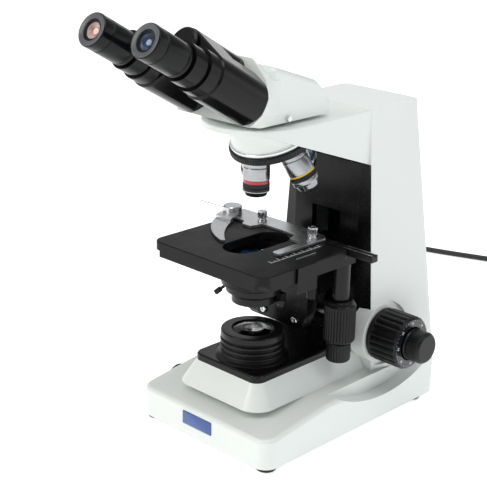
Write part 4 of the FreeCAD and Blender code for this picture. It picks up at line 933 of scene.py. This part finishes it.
class OBJECT_OT_scope_condenser(bpy.types.Operator):
    """Turns the condenser and dresses its carrier, its lever and its filter ring."""
    bl_idname = "object.scope_condenser"
    bl_label = "Condenser"

    def execute(self, context):
        dress("condenser_carrier", black_enamel(), 0.4)
        dress("iris_lever", black_anodised(), 0.3)
        dress("filter_holder", black_anodised(), 0.3)
        dress("condenser_knob", knob_abs(), 0.5)
        dress("condenser_body", black_anodised(), 0.3)
        top = high("condenser_lens")[2]
        r = high("condenser_lens")[0]
        t = np.linspace(0, 1, 10)
        dome = np.column_stack([8 * (1 - t), top - 1.2 * (1 - t) ** 2])
        line = np.concatenate([[(0, top - 14), (r, top - 14), (r, top - 3.2), (r - 1.2, top - 1.6)], dome])
        # The condenser's top lens is painted: dark painted shade with patches of painted reflection.
        build("condenser_top_lens", "condenser", [(turned(line, count=72), dark_blue_lens_painted_shade())],
              ["condenser_lens"])
        for side in (-1, 1):
            line = [(0, 0), (3.2, 0), (3.4, 0.4), (3.4, 1.6), (2.8, 2.2), (1.5, 2.3), (1.3, 1.4), (0, 1.4)]
            place = (side * SHIELD_SCREW_X, SHIELD_FRONT, SHIELD_SCREW_Z)
            head = turned(softened(line, 0.25), place, (0, -1, 0), 40)
            name = "shield_screw_%s" % ("right" if side > 0 else "left")
            build(name, "condenser", [(head, polished_chrome())])
        return {"FINISHED"}


# ---------------------------------------------------------------- nosepiece

SEAT_R = 22.0               # from the turret's axis to an objective's seat


def seat(index):
    """An objective's seat and outward direction; the working one has index 0."""
    tilt = math.acos(-TURRET_AXIS[2])
    turn = math.pi / 2 * index
    front = unit(np.cross((1, 0, 0), TURRET_AXIS))
    front = front if front[1] < 0 else -front
    radial = front * math.cos(turn) + np.array((1.0, 0, 0)) * math.sin(turn)
    depth = 6 + 15.5 * math.tan(tilt)
    outward = TURRET_AXIS * math.cos(tilt) + radial * math.sin(tilt)
    return TURRET_CENTRE + TURRET_AXIS * depth + radial * SEAT_R, outward


# name, length, height and width of the colour band, band colour, and the (radius, height) line of the tip
OBJECTIVES = [
    ("4x", 30.2, 15.0, 3.4, "#B81E2C", [(11.7, 25.3), (10.5, 25.9), (9.6, 28.8), (8.9, 29.7), (7.4, 30.2)]),
    ("10x", 34.8, 17.5, 2.0, "#D9B52C", [(11.7, 27.0), (10.3, 28.8), (8.8, 32.6), (7.4, 33.8), (5.4, 34.8)]),
    ("40x", 43.8, 22.5, 2.4, "#2C55A8", [(11.7, 32.0), (10.1, 33.8), (8.6, 38.8), (6.2, 41.2), (4.6, 43.8)]),
    ("100x", 44.9, 22.5, 2.4, "#E6E6E2", [(11.7, 33.0), (10.1, 34.8), (8.6, 39.8), (5.7, 42.2), (4.4, 44.9)]),
]


TURRET_R = 37.5             # the nosepiece's knurled rim
BARREL_R = 11.7             # an objective's barrel
NOSES = {"4x": black_chrome, "10x": chromed_brass, "40x": chromed_brass, "100x": chromed_brass}


class OBJECT_OT_scope_nosepiece(bpy.types.Operator):
    """Turns the nosepiece with its grip rim and the four objectives with their colour bands."""
    bl_idname = "object.scope_nosepiece"
    bl_label = "Nosepiece and objectives"

    def execute(self, context):
        sizes = context.scene.scope_sizes
        slope = math.tan(math.acos(-TURRET_AXIS[2]))
        r = TURRET_R
        rise = (r - 6) * slope
        line = softened([
            (0, 0), (r - 1, 0), (r, 0.9), (r, 5.4), (r - 0.8, 6.2), (r - 2, 6.4), (6, 6 + rise),
            (3, 6.6 + rise), (0, 6.6 + rise)
        ], 0.6)
        grip = ribs(sizes.turret_grooves, 0.45, 0.9, 5.6, r - 0.9, 1.0, 0.4)
        shells = [(turned(divided(line, 2.0), TURRET_CENTRE, TURRET_AXIS, 720, grip), black_anodised())]
        for index in range(4):
            at, out = seat(index)
            collar = softened([(10, -2), (13.2, -2), (13.2, 0.2), (12.6, 0.7), (10, 0.7)], 0.3)
            shells.append((turned(collar, at, out, 72), black_anodised()))
        build("turret_ring", "nosepiece", shells, ["turret"])
        ring = softened([(33, -3.6), (35.4, -3.6), (35.9, -3.0), (35.9, -1.2), (35.4, -0.6), (33, -0.6)], 0.3)
        build("mount_ring", "stand", [(turned(ring, TURRET_CENTRE, TURRET_AXIS, 128), polished_chrome())])
        for index, (name, length, band, wide, colour, tip) in enumerate(OBJECTIVES):
            at, out = seat(index)
            r = BARREL_R
            barrel = [(6, 0.5), (r - 0.4, 0.5), (r, 0.9), (r, 3.4), (r - 0.4, 3.8), (r - 0.4, 4.2), (r, 4.6)]
            barrel += [(r, band), (r - 0.3, band + 0.2), (r - 0.3, band + 0.25), (6, band + 0.25)]
            top = band + wide
            colour_band = [(6, band + 0.2), (r - 0.28, band + 0.2), (r - 0.28, top - 0.2), (6, top - 0.2)]
            knurl = [(6, top - 0.2), (r - 0.3, top - 0.2), (r, top + 0.2), (r, top + 3.6), (r - 0.4, top + 4)]
            knurl += [(6, top + 4)]
            end = tip[-1][0]
            nose = [(6, top + 3.9), (r - 0.4, top + 3.9), (r, top + 4.3)] + tip
            nose += [(end - 1.2, length), (end - 1.6, length - 0.5), (0, length - 0.5)]
            lens = [(0, length - 0.8), (end - 1.7, length - 0.8), (end - 1.9, length - 0.35)]
            lens += [(0, length - 0.1)]
            grip = ribs(64, 0.3, top + 0.3, top + 3.5, r - 0.2, 1.0, 0.3)
            shells = [
                (turned(softened(barrel, 0.2), at, out, 96), chromed_brass()),
                (turned(softened(colour_band, 0.15), at, out, 96), lacquer(name, colour)),
                (turned(divided(softened(knurl, 0.2), 1.0), at, out, 256, grip), black_chrome()),
                (turned(softened(nose, 0.3), at, out, 96), NOSES[name]()),
                # The front lens is painted: dark painted shade with patches of painted reflection.
                (turned(lens, at, out, 48), dark_blue_lens_painted_shade()),
            ]
            if name == "4x":
                (outer, low_edge), (inner, high_edge) = tip[:2]
                rim = [(inner - 1, high_edge - 0.4), (outer + 0.06, low_edge - 0.4)]
                rim += [(outer + 0.06, low_edge + 0.2), (inner - 1, low_edge + 0.2)]
                shells.append((turned(rim, at, out, 96), chromed_brass()))
            build("objective_barrel_" + name, "nosepiece", shells, ["objective_" + name])
        return {"FINISHED"}


# ---------------------------------------------------------------- head

def tube_centre(side):
    """A point on an eyepiece's axis in the plane of its face."""
    node = "eyepiece_" + ("right" if side > 0 else "left")
    lo, hi = low(node), high(node)
    x = (lo[0] + hi[0]) / 2
    r = (hi[0] - lo[0]) / 2
    # The face's lowest y belongs to its rim: centre y - r * sin(incline).
    sine = TUBE_DIRECTION[2]
    y = lo[1] + r * sine
    z = hi[2] - r * -TUBE_DIRECTION[1]
    return np.array((x, y, z)), r


EYE_LENGTH = 39.1           # an eyepiece's barrel outside its tube


class OBJECT_OT_scope_head(bpy.types.Operator):
    """Dresses the binocular head and turns its eyepieces."""
    bl_idname = "object.scope_head"
    bl_label = "Binocular head"

    def execute(self, context):
        dress("head_housing", enamel(), 0.5)
        dress("head_screw", polished_chrome(), 0.3)
        dress("hinge_hub", black_enamel(), 0.3)
        dress("wing_right", head_gloss(), 0.8)
        dress("wing_left", head_gloss(), 0.8)
        dress("diopter_ring", knob_abs(), 0.4)
        for name, side in (("right", 1), ("left", -1)):
            face, r = tube_centre(side)
            back = -TUBE_DIRECTION
            length = EYE_LENGTH
            line = softened([
                (6.4, 2.7), (8.9, 1.5), (r - 2.2, 0.4), (r - 1.4, 0.2), (r - 0.2, 0.9), (r, 1.8),
                (r, 10.2), (r - 0.5, 10.5), (r - 0.5, 11.3), (r, 11.6),
                (r, length - 5.4), (r - 0.5, length - 5.0), (r - 0.5, length - 4.2), (r, length - 3.9),
                (r, length - 0.8), (r - 0.8, length), (11.6, length), (11.6, length + 24),
                (9, length + 24), (9, 8), (6.4, 2.7)
            ], 0.35)
            t = np.linspace(0, 1, 10)
            dome = np.column_stack([6.8 * (1 - t), 2.5 - 1.5 * (1 - (1 - t) ** 2)])
            lens = np.concatenate([[(0, 5.5), (6.8, 5.5)], dome])
            collar = softened([
                (9.2, 3.2), (9.2, 0.9), (r - 2.4, 0.02), (r - 1.5, 0), (r - 0.9, 0.2), (r - 0.9, 3.2)
            ], 0.2)
            shells = [
                (turned(line, face, back, 128), eyepiece_black()),
                # The face ring's grey is partly its own colour and partly a painted highlight.
                (turned(collar, face, back, 96), eyepiece_face_grey_and_highlight()),
                # The right eye lens is painted shade and the left one painted reflection, both with patches
                # of painted reflection.
                (turned(lens, face, back, 96), dark_blue_lens_painted_shade() if side > 0 else rose_lens_painted_reflection()),
            ]
            body = "eye_r" if side > 0 else "eye_l"
            build("eyepiece_barrel_" + name, body, shells, ["eyepiece_" + name])
        return {"FINISHED"}


# ---------------------------------------------------------------- add-on

OPERATORS = [
    OBJECT_OT_scope_stage, OBJECT_OT_scope_cord, OBJECT_OT_scope_stand, OBJECT_OT_scope_lamp,
    OBJECT_OT_scope_knobs, OBJECT_OT_scope_table, OBJECT_OT_scope_condenser, OBJECT_OT_scope_nosepiece,
    OBJECT_OT_scope_head,
]


class VIEW3D_PT_scope(bpy.types.Panel):
    """Lists the steps that dress the microscope."""
    bl_label = "Microscope"
    bl_idname = "VIEW3D_PT_scope"
    bl_space_type = "VIEW_3D"
    bl_region_type = "UI"
    bl_category = "Microscope"

    def draw(self, context):
        for group in (context.scene.scope_stage, context.scene.scope_sizes, context.scene.scope_colours):
            for name in group.bl_rna.properties.keys():
                if name not in ("rna_type", "name"):
                    self.layout.prop(group, name)
        for operator in OPERATORS:
            self.layout.operator(operator.bl_idname)


CLASSES = [ScopeStage, ScopeSizes, ScopeColours, *OPERATORS, VIEW3D_PT_scope]


def register():
    for kind in CLASSES:
        bpy.utils.register_class(kind)
    bpy.types.Scene.scope_stage = bpy.props.PointerProperty(type=ScopeStage)
    bpy.types.Scene.scope_sizes = bpy.props.PointerProperty(type=ScopeSizes)
    bpy.types.Scene.scope_colours = bpy.props.PointerProperty(type=ScopeColours)


def unregister():
    del bpy.types.Scene.scope_colours
    del bpy.types.Scene.scope_sizes
    del bpy.types.Scene.scope_stage
    for kind in reversed(CLASSES):
        bpy.utils.unregister_class(kind)


def main():
    register()
    for operator in OPERATORS:
        group, name = operator.bl_idname.split(".")
        getattr(getattr(bpy.ops, group), name)()


if __name__ == "__main__":
    main()
